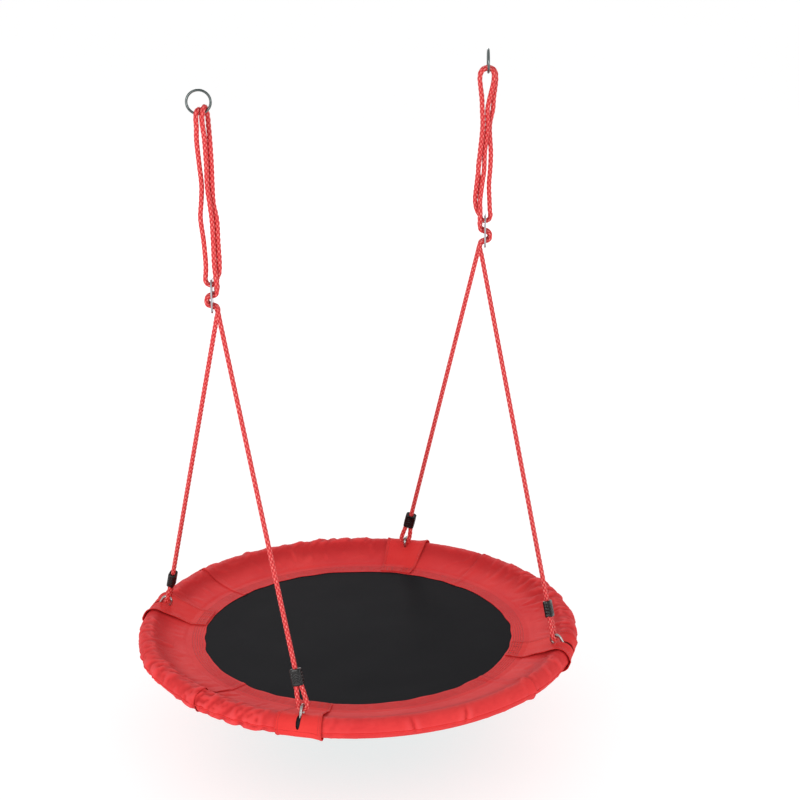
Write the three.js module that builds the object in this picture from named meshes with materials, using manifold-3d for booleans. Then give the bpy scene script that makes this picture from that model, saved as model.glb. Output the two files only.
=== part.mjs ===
// Hanging disc swing: a round mat in a padded tube ring, carried by two knotless ropes
// that each run from a front eye over a steel ring and back down to a back eye.
// Millimetres, +Z up. The origin is midway between the two hanging points, which are the
// highest inner points of the steel rings. +X runs along the line of the rings.
import * as THREE from 'three';
import { mergeVertices } from 'three/addons/utils/BufferGeometryUtils.js';
import Module from 'manifold-3d';

const wasm = await Module();
wasm.setup();

// ---------------------------------------------------------------- driving dimensions
const DISC_DIAMETER = 1100;       // over the cover
const PAD_RADIUS = 25;            // cover radius about the tube's centreline
const DROP = 1414;                // steel ring centre to tube centreline plane
const ROPE_DIAMETER = 12;
const CLEARANCE = 0.3;            // gap between touching pieces

const HOOK_RING = { wire: 6, centreline: 27.5, leftX: -394, rightX: 385 };
const TUBE = { outer: 12.5, inner: 10.5 };
const SPIGOT = { outer: 10.1, inner: 8.1, length: 48, neck: 6 };
const FOAM = { inner: 14.2, outer: 22.4 };
const COVER = { inner: 23, innerEdge: 386, topZ: -7.6, bottomZ: -16.4, cloth: 2 };
const CUFF = { inner: 26, outer: 27.6, topEdge: 445, bottomEdge: 470, slit: 8, slitLength: 70 };
const MAT = { radius: 396, open: 385, top: -10.4, edgeTop: -11, bottom: -13.6 };
const EYE = { wire: 3.5, archRadius: 12, archHeight: 35.5, foot: 4, lean: 30, slot: 34, reach: 60 };
const SCREW = { head: 4.5, headHeight: 3, shank: 2.3, hole: 2.8, angle: 2.4, tip: -7 };
const CLAMP = { width: 28, depth: 20, height: 41, corner: 8, edge: 3, above: 67, slack: 1 };
const PLATE = {
  width: 46, length: 82, thickness: 4, corner: 14, bevel: 0.6, pitch: 25, slotWidth: 28,
  slotHeight: 14, x: 377, leftZ: -484.5, rightZ: -447.5,
};

const RING_INNER = HOOK_RING.centreline - HOOK_RING.wire / 2;
const RING_Z = -RING_INNER;
const DISC_Z = RING_Z - DROP;
const RING_RADIUS = DISC_DIAMETER / 2 - PAD_RADIUS;
const ROPE_RADIUS = ROPE_DIAMETER / 2;
const TURN = PLATE.pitch / 2;      // bend radius of the rope where it weaves through the plate
const PASS = 7;                    // half spacing of two ropes that share one slot

const QUARTER = 90;
const FACETS = 8;                  // straight facets along a quarter of the disc
const FACET = QUARTER / FACETS;
const EYE_ANGLE = QUARTER / 2;
const ROUND = 10;                  // sides of the steel tube
const ROPE_SIDES = 8;
const rad = THREE.MathUtils.degToRad;

// The plates and the rings are turned about the vertical, because the ropes twist a little.
const ALONG = new THREE.Vector3(0.514, 0.858, 0).normalize();
const ACROSS = new THREE.Vector3(0.858, -0.514, 0).normalize();

// ---------------------------------------------------------------- materials
const material = (color, roughness, metalness = 0) =>
  new THREE.MeshStandardMaterial({ color, roughness, metalness });
const steel = material(0xb9bcc0, 0.28, 1);
const tubeSteel = material(0x9a9da0, 0.45, 0.9);
const ropeRed = material(0xd94b45, 0.7);
const coverRed = material(0xc9302f, 0.8);
const cuffRed = material(0xcf3433, 0.8);
const matBlack = material(0x26272a, 0.85);
const clampBlack = material(0x1b1b1d, 0.55);
const foamBlack = material(0x202022, 0.95);

// ---------------------------------------------------------------- solids and booleans
function toSolid(geometry) {
  const bare = geometry.clone();
  bare.deleteAttribute('normal');
  bare.deleteAttribute('uv');
  const merged = mergeVertices(bare, 1e-3);
  return new wasm.Manifold(new wasm.Mesh({
    numProp: 3,
    vertProperties: new Float32Array(merged.attributes.position.array),
    triVerts: new Uint32Array(merged.index.array),
  }));
}

function toGeometry(solid) {
  const mesh = solid.getMesh();
  const geometry = new THREE.BufferGeometry();
  geometry.setAttribute('position', new THREE.BufferAttribute(mesh.vertProperties, 3));
  geometry.setIndex(new THREE.BufferAttribute(mesh.triVerts, 1));
  geometry.computeVertexNormals();
  return geometry;
}

const cut = (geometry, ...tools) =>
  toGeometry(tools.reduce((left, tool) => left.subtract(toSolid(tool)), toSolid(geometry)));
const join = (geometry, ...more) =>
  toGeometry(more.reduce((sum, piece) => sum.add(toSolid(piece)), toSolid(geometry)));

function roundShape(radius, sides, hole = 0) {
  const ring = (r) => Array.from({ length: sides }, (_, i) => {
    const a = (2 * Math.PI * (i + 0.5)) / sides;
    return new THREE.Vector2(r * Math.cos(a), r * Math.sin(a));
  });
  const shape = new THREE.Shape(ring(radius));
  if (hole) shape.holes.push(new THREE.Path(ring(hole)));
  return shape;
}

function sweep(shape, path, steps) {
  return new THREE.ExtrudeGeometry(shape, {
    steps, extrudePath: path, bevelEnabled: false, curveSegments: 6,
  });
}

// ---------------------------------------------------------------- the disc's own path
// A many-sided ring, so that tube, foam and cover share their facets and nest exactly.
class RingPath extends THREE.Curve {
  constructor(fromDegrees, toDegrees) {
    super();
    this.from = fromDegrees;
    this.to = toDegrees;
  }

  angle(t) {
    return this.from + (this.to - this.from) * t;
  }

  getPoint(t) {
    const a = this.angle(t);
    const middle = (Math.floor(a / FACET + 1e-6) + 0.5) * FACET;
    const r = (RING_RADIUS * Math.cos(rad(FACET / 2))) / Math.cos(rad(a - middle));
    return new THREE.Vector3(r * Math.cos(rad(a)), r * Math.sin(rad(a)), 0);
  }

  getTangent(t) {
    const a = rad(this.angle(t));
    return new THREE.Vector3(-Math.sin(a), Math.cos(a), 0);
  }

  getPointAt(u) {
    return this.getPoint(u);
  }

  getTangentAt(u) {
    return this.getTangent(u);
  }
}

const SEAM = 0.02;                 // degrees left free at each seam
const quarterPath = new RingPath(SEAM, QUARTER - SEAM);

// A section drawn as [radius, z] becomes a shape across the ring path.
const acrossRing = (points) =>
  new THREE.Shape(points.map(([r, z]) => new THREE.Vector2(-z, RING_RADIUS - r)));

// Where the straight skirt from a tip meets the round of the pad, side +1 above, -1 below.
function touchAngle([r, z], radius, side) {
  const dr = RING_RADIUS - r;
  const line = Math.atan2(-z, dr) + side * Math.asin(radius / Math.hypot(dr, z));
  return line + side * (Math.PI / 2);
}

function skirtZ(tip, radius, side, r) {
  const angle = touchAngle(tip, radius, side);
  const line = angle - side * (Math.PI / 2);
  return tip[1] + (r - tip[0]) * Math.tan(line);
}

function wrap(topTip, bottomTip, radius, segments) {
  const from = touchAngle(topTip, radius, 1);
  const to = touchAngle(bottomTip, radius, -1);
  const points = [topTip];
  for (let i = 0; i <= segments; i += 1) {
    const a = from + ((to - from) * i) / segments;
    points.push([RING_RADIUS + radius * Math.cos(a), radius * Math.sin(a)]);
  }
  points.push(bottomTip);
  return points;
}

const WRAP_SEGMENTS = 8;
const coverTop = [COVER.innerEdge, COVER.topZ];
const coverBottom = [COVER.innerEdge, COVER.bottomZ];

function coverSection() {
  const outside = wrap(coverTop, coverBottom, PAD_RADIUS, WRAP_SEGMENTS);
  const inside = wrap(
    [COVER.innerEdge, COVER.topZ - COVER.cloth],
    [COVER.innerEdge, COVER.bottomZ + COVER.cloth],
    COVER.inner, WRAP_SEGMENTS);
  return acrossRing([...outside, ...inside.reverse()]);
}

function cuffSection() {
  const lift = (tip, side, r, gap) => [r, skirtZ(tip, PAD_RADIUS, side, r) + side * gap];
  const layer = (gap, radius) => wrap(
    lift(coverTop, 1, CUFF.topEdge, gap), lift(coverBottom, -1, CUFF.bottomEdge, gap),
    radius, WRAP_SEGMENTS);
  const outside = layer(CUFF.outer - PAD_RADIUS, CUFF.outer);
  const inside = layer(CUFF.inner - PAD_RADIUS, CUFF.inner);
  return acrossRing([...outside, ...inside.reverse()]);
}

// ---------------------------------------------------------------- welded eyes
const eyeUp = new THREE.Vector3(-Math.sin(rad(EYE.lean)), 0, Math.cos(rad(EYE.lean)));
const eyeOut = new THREE.Vector3(Math.cos(rad(EYE.lean)), 0, Math.sin(rad(EYE.lean)));
const eyePoint = (up, out) =>
  new THREE.Vector3(RING_RADIUS, 0, 0).addScaledVector(eyeUp, up).addScaledVector(eyeOut, out);
const apexHeight = EYE.archHeight + EYE.archRadius;

function eyeGeometry() {
  const points = [eyePoint(EYE.foot, EYE.archRadius), eyePoint(EYE.archHeight / 2, EYE.archRadius)];
  for (let degrees = 0; degrees <= 180; degrees += 22.5) {
    points.push(eyePoint(
      EYE.archHeight + EYE.archRadius * Math.sin(rad(degrees)),
      EYE.archRadius * Math.cos(rad(degrees))));
  }
  points.push(eyePoint(EYE.archHeight / 2, -EYE.archRadius), eyePoint(EYE.foot, -EYE.archRadius));
  const arch = sweep(roundShape(EYE.wire, 8), new THREE.CatmullRomCurve3(points), 16);
  arch.rotateZ(rad(EYE_ANGLE));
  const saddle = sweep(roundShape(TUBE.outer + CLEARANCE, ROUND),
    new RingPath(EYE_ANGLE - FACET / 2, EYE_ANGLE + FACET / 2), 2);
  return cut(arch, saddle);
}

// The slot that an eye's two legs need in the foam, the cover and the cuff.
function eyeSlot() {
  const slot = new THREE.BoxGeometry(EYE.slot, 2 * EYE.wire + 5 * CLEARANCE, EYE.reach);
  slot.translate(0, 0, EYE.reach / 2);
  slot.rotateY(-rad(EYE.lean));
  slot.translate(RING_RADIUS, 0, 0);
  slot.rotateZ(rad(EYE_ANGLE));
  return slot;
}

// The cuff's slit runs from the eye outwards and over the edge of the disc.
function cuffSlit() {
  const slit = new THREE.BoxGeometry(CUFF.slitLength, CUFF.slit, 2 * CUFF.outer);
  slit.translate(RING_RADIUS - CUFF.inner + CUFF.slitLength / 2, 0, CUFF.outer + CUFF.slit / 2);
  slit.rotateZ(rad(EYE_ANGLE));
  return slit;
}

// ---------------------------------------------------------------- quarters of the disc
function alongChord(degrees) {
  return new RingPath(degrees, degrees).getPoint(0);
}

function screwTool(radius, fromZ, toZ, degrees) {
  const tool = new THREE.CylinderGeometry(radius, radius, toZ - fromZ, 8);
  tool.rotateX(Math.PI / 2);
  const at = alongChord(degrees);
  tool.translate(at.x, at.y, (fromZ + toZ) / 2);
  return tool;
}

function frameArcGeometry() {
  const tube = sweep(roundShape(TUBE.outer, ROUND, TUBE.inner), quarterPath, FACETS);
  const collar = sweep(roundShape((TUBE.outer + TUBE.inner) / 2, ROUND, SPIGOT.inner),
    new RingPath(QUARTER - 1.2, QUARTER - SEAM), 1);
  const corner = alongChord(QUARTER);
  const ahead = alongChord(QUARTER + FACET).sub(corner).normalize();
  const start = corner.clone().addScaledVector(ahead, -SPIGOT.neck);
  const end = corner.clone().addScaledVector(ahead, SPIGOT.length);
  const spigot = sweep(roundShape(SPIGOT.outer, ROUND, SPIGOT.inner),
    new THREE.LineCurve3(start, end), 1);
  const body = join(tube, collar, spigot);
  const low = -TUBE.outer - 2;
  const high = SCREW.tip + 2;
  return cut(body, screwTool(SCREW.hole, low, high, SCREW.angle),
    screwTool(SCREW.hole, low, high, QUARTER + SCREW.angle));
}

function screwGeometry() {
  const seat = -TUBE.outer - CLEARANCE;
  const profile = [
    [0, seat - SCREW.headHeight], [SCREW.head - 1, seat - SCREW.headHeight],
    [SCREW.head, seat - SCREW.headHeight + 1], [SCREW.head, seat],
    [SCREW.shank, seat], [SCREW.shank, SCREW.tip - 1], [0, SCREW.tip],
  ].map(([r, z]) => new THREE.Vector2(r, z));
  const screw = new THREE.LatheGeometry(profile, 8);
  screw.rotateX(Math.PI / 2);
  const at = alongChord(SCREW.angle);
  screw.translate(at.x, at.y, 0);
  return screw;
}

function foamGeometry() {
  const sleeve = sweep(roundShape(FOAM.outer, 8, FOAM.inner), quarterPath, FACETS);
  const head = -TUBE.outer - SCREW.headHeight - 1.5;
  return cut(sleeve, eyeSlot(), screwTool(SCREW.head + 1.5, head, -TUBE.outer + 2, SCREW.angle));
}

const coverGeometry = () => cut(sweep(coverSection(), quarterPath, FACETS), eyeSlot());

function cuffGeometry() {
  const path = new RingPath(EYE_ANGLE - FACET / 2, EYE_ANGLE + FACET / 2);
  return cut(sweep(cuffSection(), path, 2), cuffSlit(), eyeSlot());
}

// ---------------------------------------------------------------- rope route
// Points are written as [single side, along the view of the plate, z]. The single side is
// where one strand climbs alone; the other three climb together on the opposite side.
const sides = [
  {
    name: 'left',
    sign: -1,
    plateZ: PLATE.leftZ,
    ringX: HOOK_RING.leftX,
    ringFacing: ACROSS,
    bights: [
      [[-7.5, -15.5, -67], [-8.5, -13.5, -53], [-10.5, -8, -39.8], [-13, 0, -35.6],
        [-15.5, 8, -40.4], [-17.5, 13.5, -53], [-18.5, 15.5, -67]],
      [[6.3, -15.5, -67], [6, -14, -54], [4, -8.5, -44], [1, 0, -42],
        [-2, 8.5, -44], [-3.5, 14, -54], [-4, 15.5, -67]],
    ],
    strandEnds: [[-8, -14.5, -80], [-18.7, 14, -80], [6.5, -14, -80], [-4.6, 15, -80]],
    strands: [
      [[-9.2, -7.5, -112], [-9.2, -6.3, -171], [-7.8, -6.3, -221], [-11, -9, -264],
        [-12.8, -6.3, -300], [-12.2, -6.3, -356], [-11, -7.2, -412], [-12.4, -11.6, -432]],
      [[-20.4, 2.5, -112], [-20.4, 0, -171], [-18.9, 0, -221], [-18.6, 1.5, -264],
        [-23.6, 0, -300], [-23, 0, -356], [-22.4, 0, -412], [-19.6, 0, -432]],
      [[9.2, -3, -112], [7.4, 0, -171], [5.6, 0, -221], [9.7, 0, -264],
        [13.5, 0, -295], [10, 0, -356], [9.2, 0, -412], [10.8, 0, -432]],
      [[-8.4, 8.5, -112], [-9.2, 6.3, -171], [-7.8, 6.3, -221], [-9.5, 10.5, -264],
        [-12.8, 6.3, -300], [-12.2, 6.3, -356], [-11, 7.2, -412], [-12.4, 11.6, -432]],
    ],
  },
  {
    name: 'right',
    sign: 1,
    plateZ: PLATE.rightZ,
    ringX: HOOK_RING.rightX,
    ringFacing: ALONG,
    bights: [
      [[13.6, -6.4, -66], [12.8, -6.4, -52], [7, -6.4, -43.6], [0, -6.4, -41],
        [-8, -6.4, -42.6], [-16.6, -6.4, -50], [-20, -6.4, -65]],
      [[19, 6.4, -66], [16.5, 6.4, -51], [8, 6.4, -43], [0, 6.4, -41],
        [-8, 6.4, -42.6], [-16.6, 6.4, -50], [-20, 6.4, -65]],
    ],
    strandEnds: [[12, -6.4, -80], [-18.8, -6.4, -80], [18.6, 6.4, -80], [-18.8, 6.4, -80]],
    strands: [
      [[4, -6.3, -117], [0, -3.5, -143], [1.2, -1, -185], [-4.6, 0, -253],
        [-5.2, -3, -293], [-9.5, -6.5, -330], [-13.5, -6.8, -372], [-12.6, -11.6, -395]],
      [[-14.5, -6.4, -117], [-12.7, -6.6, -143], [-10.8, -6.6, -185], [-16, -6.5, -253],
        [-19.4, -6.4, -293], [-22.8, -3.2, -330], [-25.5, 0, -372], [-20.6, 0, -395]],
      [[14.7, 6.3, -117], [13.6, 7.5, -143], [6.8, 11, -185], [10.6, 3, -253],
        [9.7, 0, -293], [7.6, 0, -330], [9.6, 0, -372], [11, 0, -395]],
      [[-13.5, 6.4, -117], [-12.7, 6.6, -143], [-10.8, 6.6, -185], [-16, 6.6, -253],
        [-19.4, 6.4, -293], [-15, 8.8, -330], [-13.5, 6.8, -372], [-12.6, 11.6, -395]],
    ],
  },
];

// World position of a route point. The offsets are taken from the straight line between
// the foot of the steel ring and the middle of the plate.
function placed(side, [single, along, z]) {
  const footZ = RING_Z - HOOK_RING.centreline;
  const t = THREE.MathUtils.clamp((z - footZ) / (side.plateZ - footZ), 0, 1);
  const x = THREE.MathUtils.lerp(side.ringX, side.sign * PLATE.x, t);
  return new THREE.Vector3(x, 0, z)
    .addScaledVector(ACROSS, single * side.sign).addScaledVector(ALONG, along);
}

// Part of a circle of the weave, from one angle to another in steps of 45 degrees.
function turn(centreZ, fromDegrees, toDegrees, alongOf) {
  const step = 45 * Math.sign(toDegrees - fromDegrees);
  const count = Math.round((toDegrees - fromDegrees) / step);
  return Array.from({ length: count + 1 }, (_, i) => {
    const a = rad(fromDegrees + i * step);
    return [TURN * Math.cos(a), alongOf(i / count), centreZ + TURN * Math.sin(a)];
  });
}

// From the leg below the plate through the bottom slot, up the single side and back
// through the middle slot. `row` is -1 for the front rope and +1 for the back rope.
function weave(side, row) {
  const still = () => row * PASS;
  const z = side.plateZ;
  return [
    ...turn(z - 3 * TURN, 180, 90, still),
    ...turn(z - TURN, -90, 90, still).slice(1),
    ...turn(z + TURN, 270, 180, (t) => row * (PASS + 3 * t)).slice(1),
    [-TURN, row * 12.7, z + 2 * TURN],
  ];
}

const plateBight = (side) => turn(side.plateZ + 3 * TURN, 180, 360, () => 0);

// The rope's end at an eye: down through the clamp, under the arch and back up into it.
function eyeFrame(side, row, legTop) {
  const azimuth = Math.atan2(row, side.sign);
  const vertical = new THREE.Vector3(0, 0, 1);
  const apex = eyePoint(apexHeight, 0).applyAxisAngle(vertical, azimuth);
  apex.z += DISC_Z;
  const lean = eyeUp.clone().applyAxisAngle(vertical, azimuth);
  const up = legTop.clone().sub(apex).normalize();
  const tangent = new THREE.Vector3(-Math.sin(azimuth), Math.cos(azimuth), 0);
  const sideways = tangent.clone().addScaledVector(up, -tangent.dot(up)).normalize();
  const normal = new THREE.Vector3().crossVectors(sideways, up);
  return { apex, lean, tangent, up, sideways, normal };
}

function eyeLoop(frame) {
  const bend = EYE.wire + ROPE_RADIUS + 0.7;
  const low = CLAMP.above - CLAMP.height / 2;
  const at = (sideways, up) => frame.apex.clone()
    .addScaledVector(frame.sideways, sideways).addScaledVector(frame.up, up);
  const under = [180, 225, 270, 315, 360].map((degrees) => frame.apex.clone()
    .addScaledVector(frame.tangent, bend * Math.cos(rad(degrees)))
    .addScaledVector(frame.lean, bend * Math.sin(rad(degrees))));
  return [
    at(-6.4, low + 16), at(-6.4, low), at(-9.2, low * 0.45), ...under,
    at(9.2, low * 0.45), at(6.4, low), at(6.2, low + 15), at(1.5, low + 32),
    at(0, low + CLAMP.height + 4),
  ];
}

function ropeRuns(side) {
  const world = (points) => points.map((point) => placed(side, point));
  const weaves = [-1, 1].map((row) => world(weave(side, row)));
  const legs = [-1, 1].map((row, i) => {
    const frame = eyeFrame(side, row, weaves[i][0]);
    return { frame, loop: eyeLoop(frame) };
  });
  const [ends, strands] = [side.strandEnds, side.strands];
  const legRun = (i) => {
    const foot = legs[i].loop.at(-1);
    const top = weaves[i][0];
    return [0.012, 0.04, 0.1, 0.3, 0.5, 0.7, 0.9, 0.97].map((t) => foot.clone().lerp(top, t));
  };
  const back = (points) => [...points].reverse();
  const runs = [
    ['front_eye_loop', legs[0].loop, 24],
    ['front_leg', legRun(0), 6],
    ['front_weave', weaves[0], 14],
    ['strand_1', world(back([ends[0], ...strands[0]])), 9],
    ['ring_bight_1', world(side.bights[0]), 8],
    ['strand_2', world([ends[1], ...strands[1]]), 9],
    ['plate_bight', world(plateBight(side)), 8],
    ['strand_3', world(back([ends[2], ...strands[2]])), 9],
    ['ring_bight_2', world(side.bights[1]), 8],
    ['strand_4', world([ends[3], ...strands[3]]), 9],
    ['back_weave', back(weaves[1]), 14],
    ['back_leg', back(legRun(1)), 6],
    ['back_eye_loop', back(legs[1].loop), 24],
  ];
  return { runs, frames: legs.map((leg) => leg.frame) };
}

// One stretch of a longer curve, so that neighbouring pieces share their direction.
class Stretch extends THREE.Curve {
  constructor(whole, from, to) {
    super();
    this.whole = whole;
    this.from = from;
    this.to = to;
  }

  getPoint(t) {
    return this.whole.getPoint(this.from + (this.to - this.from) * t);
  }

  getTangent(t) {
    return this.whole.getTangent(this.from + (this.to - this.from) * t);
  }
}

const HALF_GAP = CLEARANCE / 2 + 0.05;

function ropePieces(side) {
  const { runs, frames } = ropeRuns(side);
  const points = runs.flatMap(([, list]) => list);
  const whole = new THREE.CatmullRomCurve3(points, false, 'centripetal');
  const spans = points.length - 1;
  let first = 0;
  const pieces = runs.map(([name, list, steps], i) => {
    // A run reaches halfway to its neighbours' nearest points, less half the gap.
    const last = first + list.length - 1;
    const before = i > 0 ? points[first].distanceTo(points[first - 1]) : 0;
    const after = last < spans ? points[last].distanceTo(points[last + 1]) : 0;
    const from = before ? first - 0.5 + HALF_GAP / before : 0;
    const to = after ? last + 0.5 - HALF_GAP / after : last;
    first = last + 1;
    const path = new Stretch(whole, from / spans, to / spans);
    return { name: `rope_${side.name}_${name}`, path, steps };
  });
  return { pieces, frames };
}

// ---------------------------------------------------------------- rope hardware
function roundedRectangle(width, height, corner) {
  const shape = new THREE.Shape();
  const [x, y] = [width / 2, height / 2];
  shape.absarc(x - corner, y - corner, corner, 0, Math.PI / 2);
  shape.absarc(-x + corner, y - corner, corner, Math.PI / 2, Math.PI);
  shape.absarc(-x + corner, -y + corner, corner, Math.PI, 1.5 * Math.PI);
  shape.absarc(x - corner, -y + corner, corner, 1.5 * Math.PI, 2 * Math.PI);
  return shape;
}

function slotPath(width, height, centreY) {
  const path = new THREE.Path();
  const r = height / 2;
  path.absarc(width / 2 - r, centreY, r, -Math.PI / 2, Math.PI / 2);
  path.absarc(-width / 2 + r, centreY, r, Math.PI / 2, 1.5 * Math.PI);
  return path;
}

function plateGeometry() {
  const edge = 2 * PLATE.bevel;
  const shape = roundedRectangle(PLATE.width - edge, PLATE.length - edge, PLATE.corner);
  for (const row of [-1, 0, 1]) {
    shape.holes.push(slotPath(
      PLATE.slotWidth + edge, PLATE.slotHeight + edge, row * PLATE.pitch));
  }
  const plate = new THREE.ExtrudeGeometry(shape, {
    depth: PLATE.thickness - edge, bevelThickness: PLATE.bevel, bevelSize: PLATE.bevel,
    bevelSegments: 1, curveSegments: 3,
  });
  plate.translate(0, 0, -PLATE.thickness / 2 + PLATE.bevel);
  return plate;
}

function clampGeometry(frame, ropeTool) {
  const shape = roundedRectangle(
    CLAMP.width - 2 * CLAMP.edge, CLAMP.depth - 2 * CLAMP.edge, CLAMP.corner - CLAMP.edge);
  const block = new THREE.ExtrudeGeometry(shape, {
    depth: CLAMP.height - 2 * CLAMP.edge, bevelThickness: CLAMP.edge, bevelSize: CLAMP.edge,
    bevelSegments: 1, curveSegments: 2,
  });
  block.translate(0, 0, -CLAMP.height / 2 + CLAMP.edge);
  const basis = new THREE.Matrix4().makeBasis(
    frame.sideways, frame.normal.clone().negate(), frame.up);
  const centre = frame.apex.clone().addScaledVector(frame.up, CLAMP.above);
  block.applyMatrix4(basis.setPosition(centre));
  return cut(block, ropeTool);
}

function hookRingGeometry(facing) {
  const ring = new THREE.TorusGeometry(HOOK_RING.centreline, HOOK_RING.wire / 2, 8, 24);
  ring.rotateX(Math.PI / 2);
  ring.rotateZ(Math.atan2(facing.y, facing.x));
  return ring;
}

// ---------------------------------------------------------------- assembly
const swing = new THREE.Group();

function add(parent, name, geometry, finish) {
  const mesh = new THREE.Mesh(geometry, finish);
  mesh.name = name;
  parent.add(mesh);
  return mesh;
}

const seat = new THREE.Group();
seat.position.z = DISC_Z;
swing.add(seat);

// The mat is flat where it is open and thins a little where the cover is sewn over its edge.
const matProfile = [
  [0, MAT.bottom], [MAT.radius, MAT.bottom], [MAT.radius, MAT.edgeTop], [MAT.open, MAT.top], [0, MAT.top],
].map(([r, z]) => new THREE.Vector2(r, z));
const matSolid = new THREE.LatheGeometry(matProfile, 4 * FACETS);
matSolid.rotateX(Math.PI / 2);
add(seat, 'mat', matSolid, matBlack);

const corners = ['back_right', 'back_left', 'front_left', 'front_right'];
corners.forEach((corner, quarter) => {
  const group = new THREE.Group();
  group.rotation.z = rad(QUARTER * quarter);
  seat.add(group);
  add(group, `frame_arc_${corner}`, frameArcGeometry(), tubeSteel);
  add(group, `joint_screw_${corner}`, screwGeometry(), steel);
  add(group, `welded_eye_${corner}`, eyeGeometry(), steel);
  add(group, `foam_sleeve_${corner}`, foamGeometry(), foamBlack);
  add(group, `cover_panel_${corner}`, coverGeometry(), coverRed);
  add(group, `cuff_${corner}`, cuffGeometry(), cuffRed);
});

for (const side of sides) {
  const ring = add(swing, `hanger_ring_${side.name}`, hookRingGeometry(side.ringFacing), steel);
  ring.position.set(side.ringX, 0, RING_Z);

  const plate = add(swing, `adjuster_plate_${side.name}`, plateGeometry(), steel);
  plate.quaternion.setFromRotationMatrix(new THREE.Matrix4().makeBasis(
    ALONG.clone().negate(), new THREE.Vector3(0, 0, 1), ACROSS.clone().negate()));
  plate.position.set(side.sign * PLATE.x, 0, side.plateZ);

  const { pieces, frames } = ropePieces(side);
  for (const { name, path, steps } of pieces) {
    add(swing, name, sweep(roundShape(ROPE_RADIUS, ROPE_SIDES), path, steps), ropeRed);
  }
  ['front', 'back'].forEach((end, i) => {
    const loop = pieces.find(({ name }) => name.endsWith(`${end}_eye_loop`));
    const leg = pieces.find(({ name }) => name.endsWith(`${end}_leg`));
    const bore = roundShape(ROPE_RADIUS + CLAMP.slack, ROPE_SIDES);
    const channel = sweep(bore, loop.path, loop.steps);
    const mouth = sweep(bore, leg.path, leg.steps);
    add(swing, `rope_clamp_${end}_${side.name}`,
      cut(clampGeometry(frames[i], channel), mouth), clampBlack);
  });
}

export default swing;
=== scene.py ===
"""The looks of the hanging disc swing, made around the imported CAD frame.

Metres, +Z up, in the frame's own axes. The disc is a steel tube ring in foam sleeves, wrapped
in a red cover and carrying a black mat. Two ropes hold it: each runs from a front eye through
an adjuster plate, over a steel ring and back down to a back eye.
"""

import math

import bpy
import numpy as np
from mathutils import Matrix, Vector


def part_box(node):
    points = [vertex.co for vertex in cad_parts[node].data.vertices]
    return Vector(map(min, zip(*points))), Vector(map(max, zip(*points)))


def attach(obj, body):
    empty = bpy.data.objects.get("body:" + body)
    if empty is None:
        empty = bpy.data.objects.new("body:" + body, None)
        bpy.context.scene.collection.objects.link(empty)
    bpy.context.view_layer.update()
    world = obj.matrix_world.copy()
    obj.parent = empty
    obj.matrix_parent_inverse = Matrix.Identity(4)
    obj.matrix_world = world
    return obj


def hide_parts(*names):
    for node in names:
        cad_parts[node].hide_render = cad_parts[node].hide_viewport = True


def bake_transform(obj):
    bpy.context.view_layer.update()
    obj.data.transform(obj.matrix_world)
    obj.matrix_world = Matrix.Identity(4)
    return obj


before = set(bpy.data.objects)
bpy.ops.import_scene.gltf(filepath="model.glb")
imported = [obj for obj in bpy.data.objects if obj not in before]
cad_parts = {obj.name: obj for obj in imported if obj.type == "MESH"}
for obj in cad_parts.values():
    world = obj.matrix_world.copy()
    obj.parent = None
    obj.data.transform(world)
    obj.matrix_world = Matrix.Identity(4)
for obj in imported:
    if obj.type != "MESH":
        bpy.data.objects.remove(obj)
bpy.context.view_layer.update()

MM = 0.001
TAU = 2 * math.pi
CORNERS = ("back_right", "back_left", "front_left", "front_right")
SIDES = ("left", "right")


# ------------------------------------------------------------------ sizes taken from the frame
def middle(node):
    low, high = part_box(node)
    return (low + high) / 2


PAD_RADIUS = 25 * MM
PANEL_LOW, PANEL_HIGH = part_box("cover_panel_back_right")
DISC_Z = (PANEL_LOW.z + PANEL_HIGH.z) / 2
RING_RADIUS = PANEL_HIGH.x - PAD_RADIUS
MAT_BOTTOM, MAT_TOP = (corner.z - DISC_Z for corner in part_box("mat"))
HOOK_WIRE = 6 * MM
HOOK_RADIUS = (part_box("hanger_ring_left")[1].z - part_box("hanger_ring_left")[0].z - HOOK_WIRE) / 2
HOOK_Z = middle("hanger_ring_left").z
PLATE_THICKNESS = 4 * MM
PLATE_PITCH = 25 * MM
ROPE_DIAMETER = 12 * MM
EYE = {"wire": 3.5 * MM, "arch_radius": 12 * MM, "arch_height": 35.5 * MM, "lean": math.radians(30)}
CLAMP = {"width": 28 * MM, "depth": 20 * MM, "height": 41 * MM, "above": 67 * MM}

# The way the plates' slots face, level, and the way across it.
ALONG = np.array([0.514, 0.858, 0.0])
ALONG /= np.linalg.norm(ALONG)
ACROSS = np.array([ALONG[1], -ALONG[0], 0.0])


# ------------------------------------------------------------------ camera
CAMERA = {
    "target": (0.0952, -0.0570, -0.8187),
    "azimuth": -30.92,
    "elevation": 20.17,
    "distance": 6.093,
    "roll": -0.48,
    "lens": 112.35,
}


def make_camera():
    """Stands back from the target at the given angles. Roll turns the view about its axis."""
    az, el, roll = (math.radians(CAMERA[k]) for k in ("azimuth", "elevation", "roll"))
    back = Vector((math.sin(az) * math.cos(el), -math.cos(az) * math.cos(el), math.sin(el)))
    right = (-back).cross(Vector((0, 0, 1))).normalized()
    up = right.cross(-back)
    right, up = (
        math.cos(roll) * right + math.sin(roll) * up,
        -math.sin(roll) * right + math.cos(roll) * up,
    )
    data = bpy.data.cameras.new("camera")
    data.lens = CAMERA["lens"]
    data.clip_end = 100
    camera = bpy.data.objects.new("camera", data)
    place = Vector(CAMERA["target"]) + back * CAMERA["distance"]
    camera.matrix_world = Matrix.Translation(place) @ Matrix((right, up, back)).transposed().to_4x4()
    bpy.context.scene.collection.objects.link(camera)
    bpy.context.scene.camera = camera


make_camera()


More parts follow.
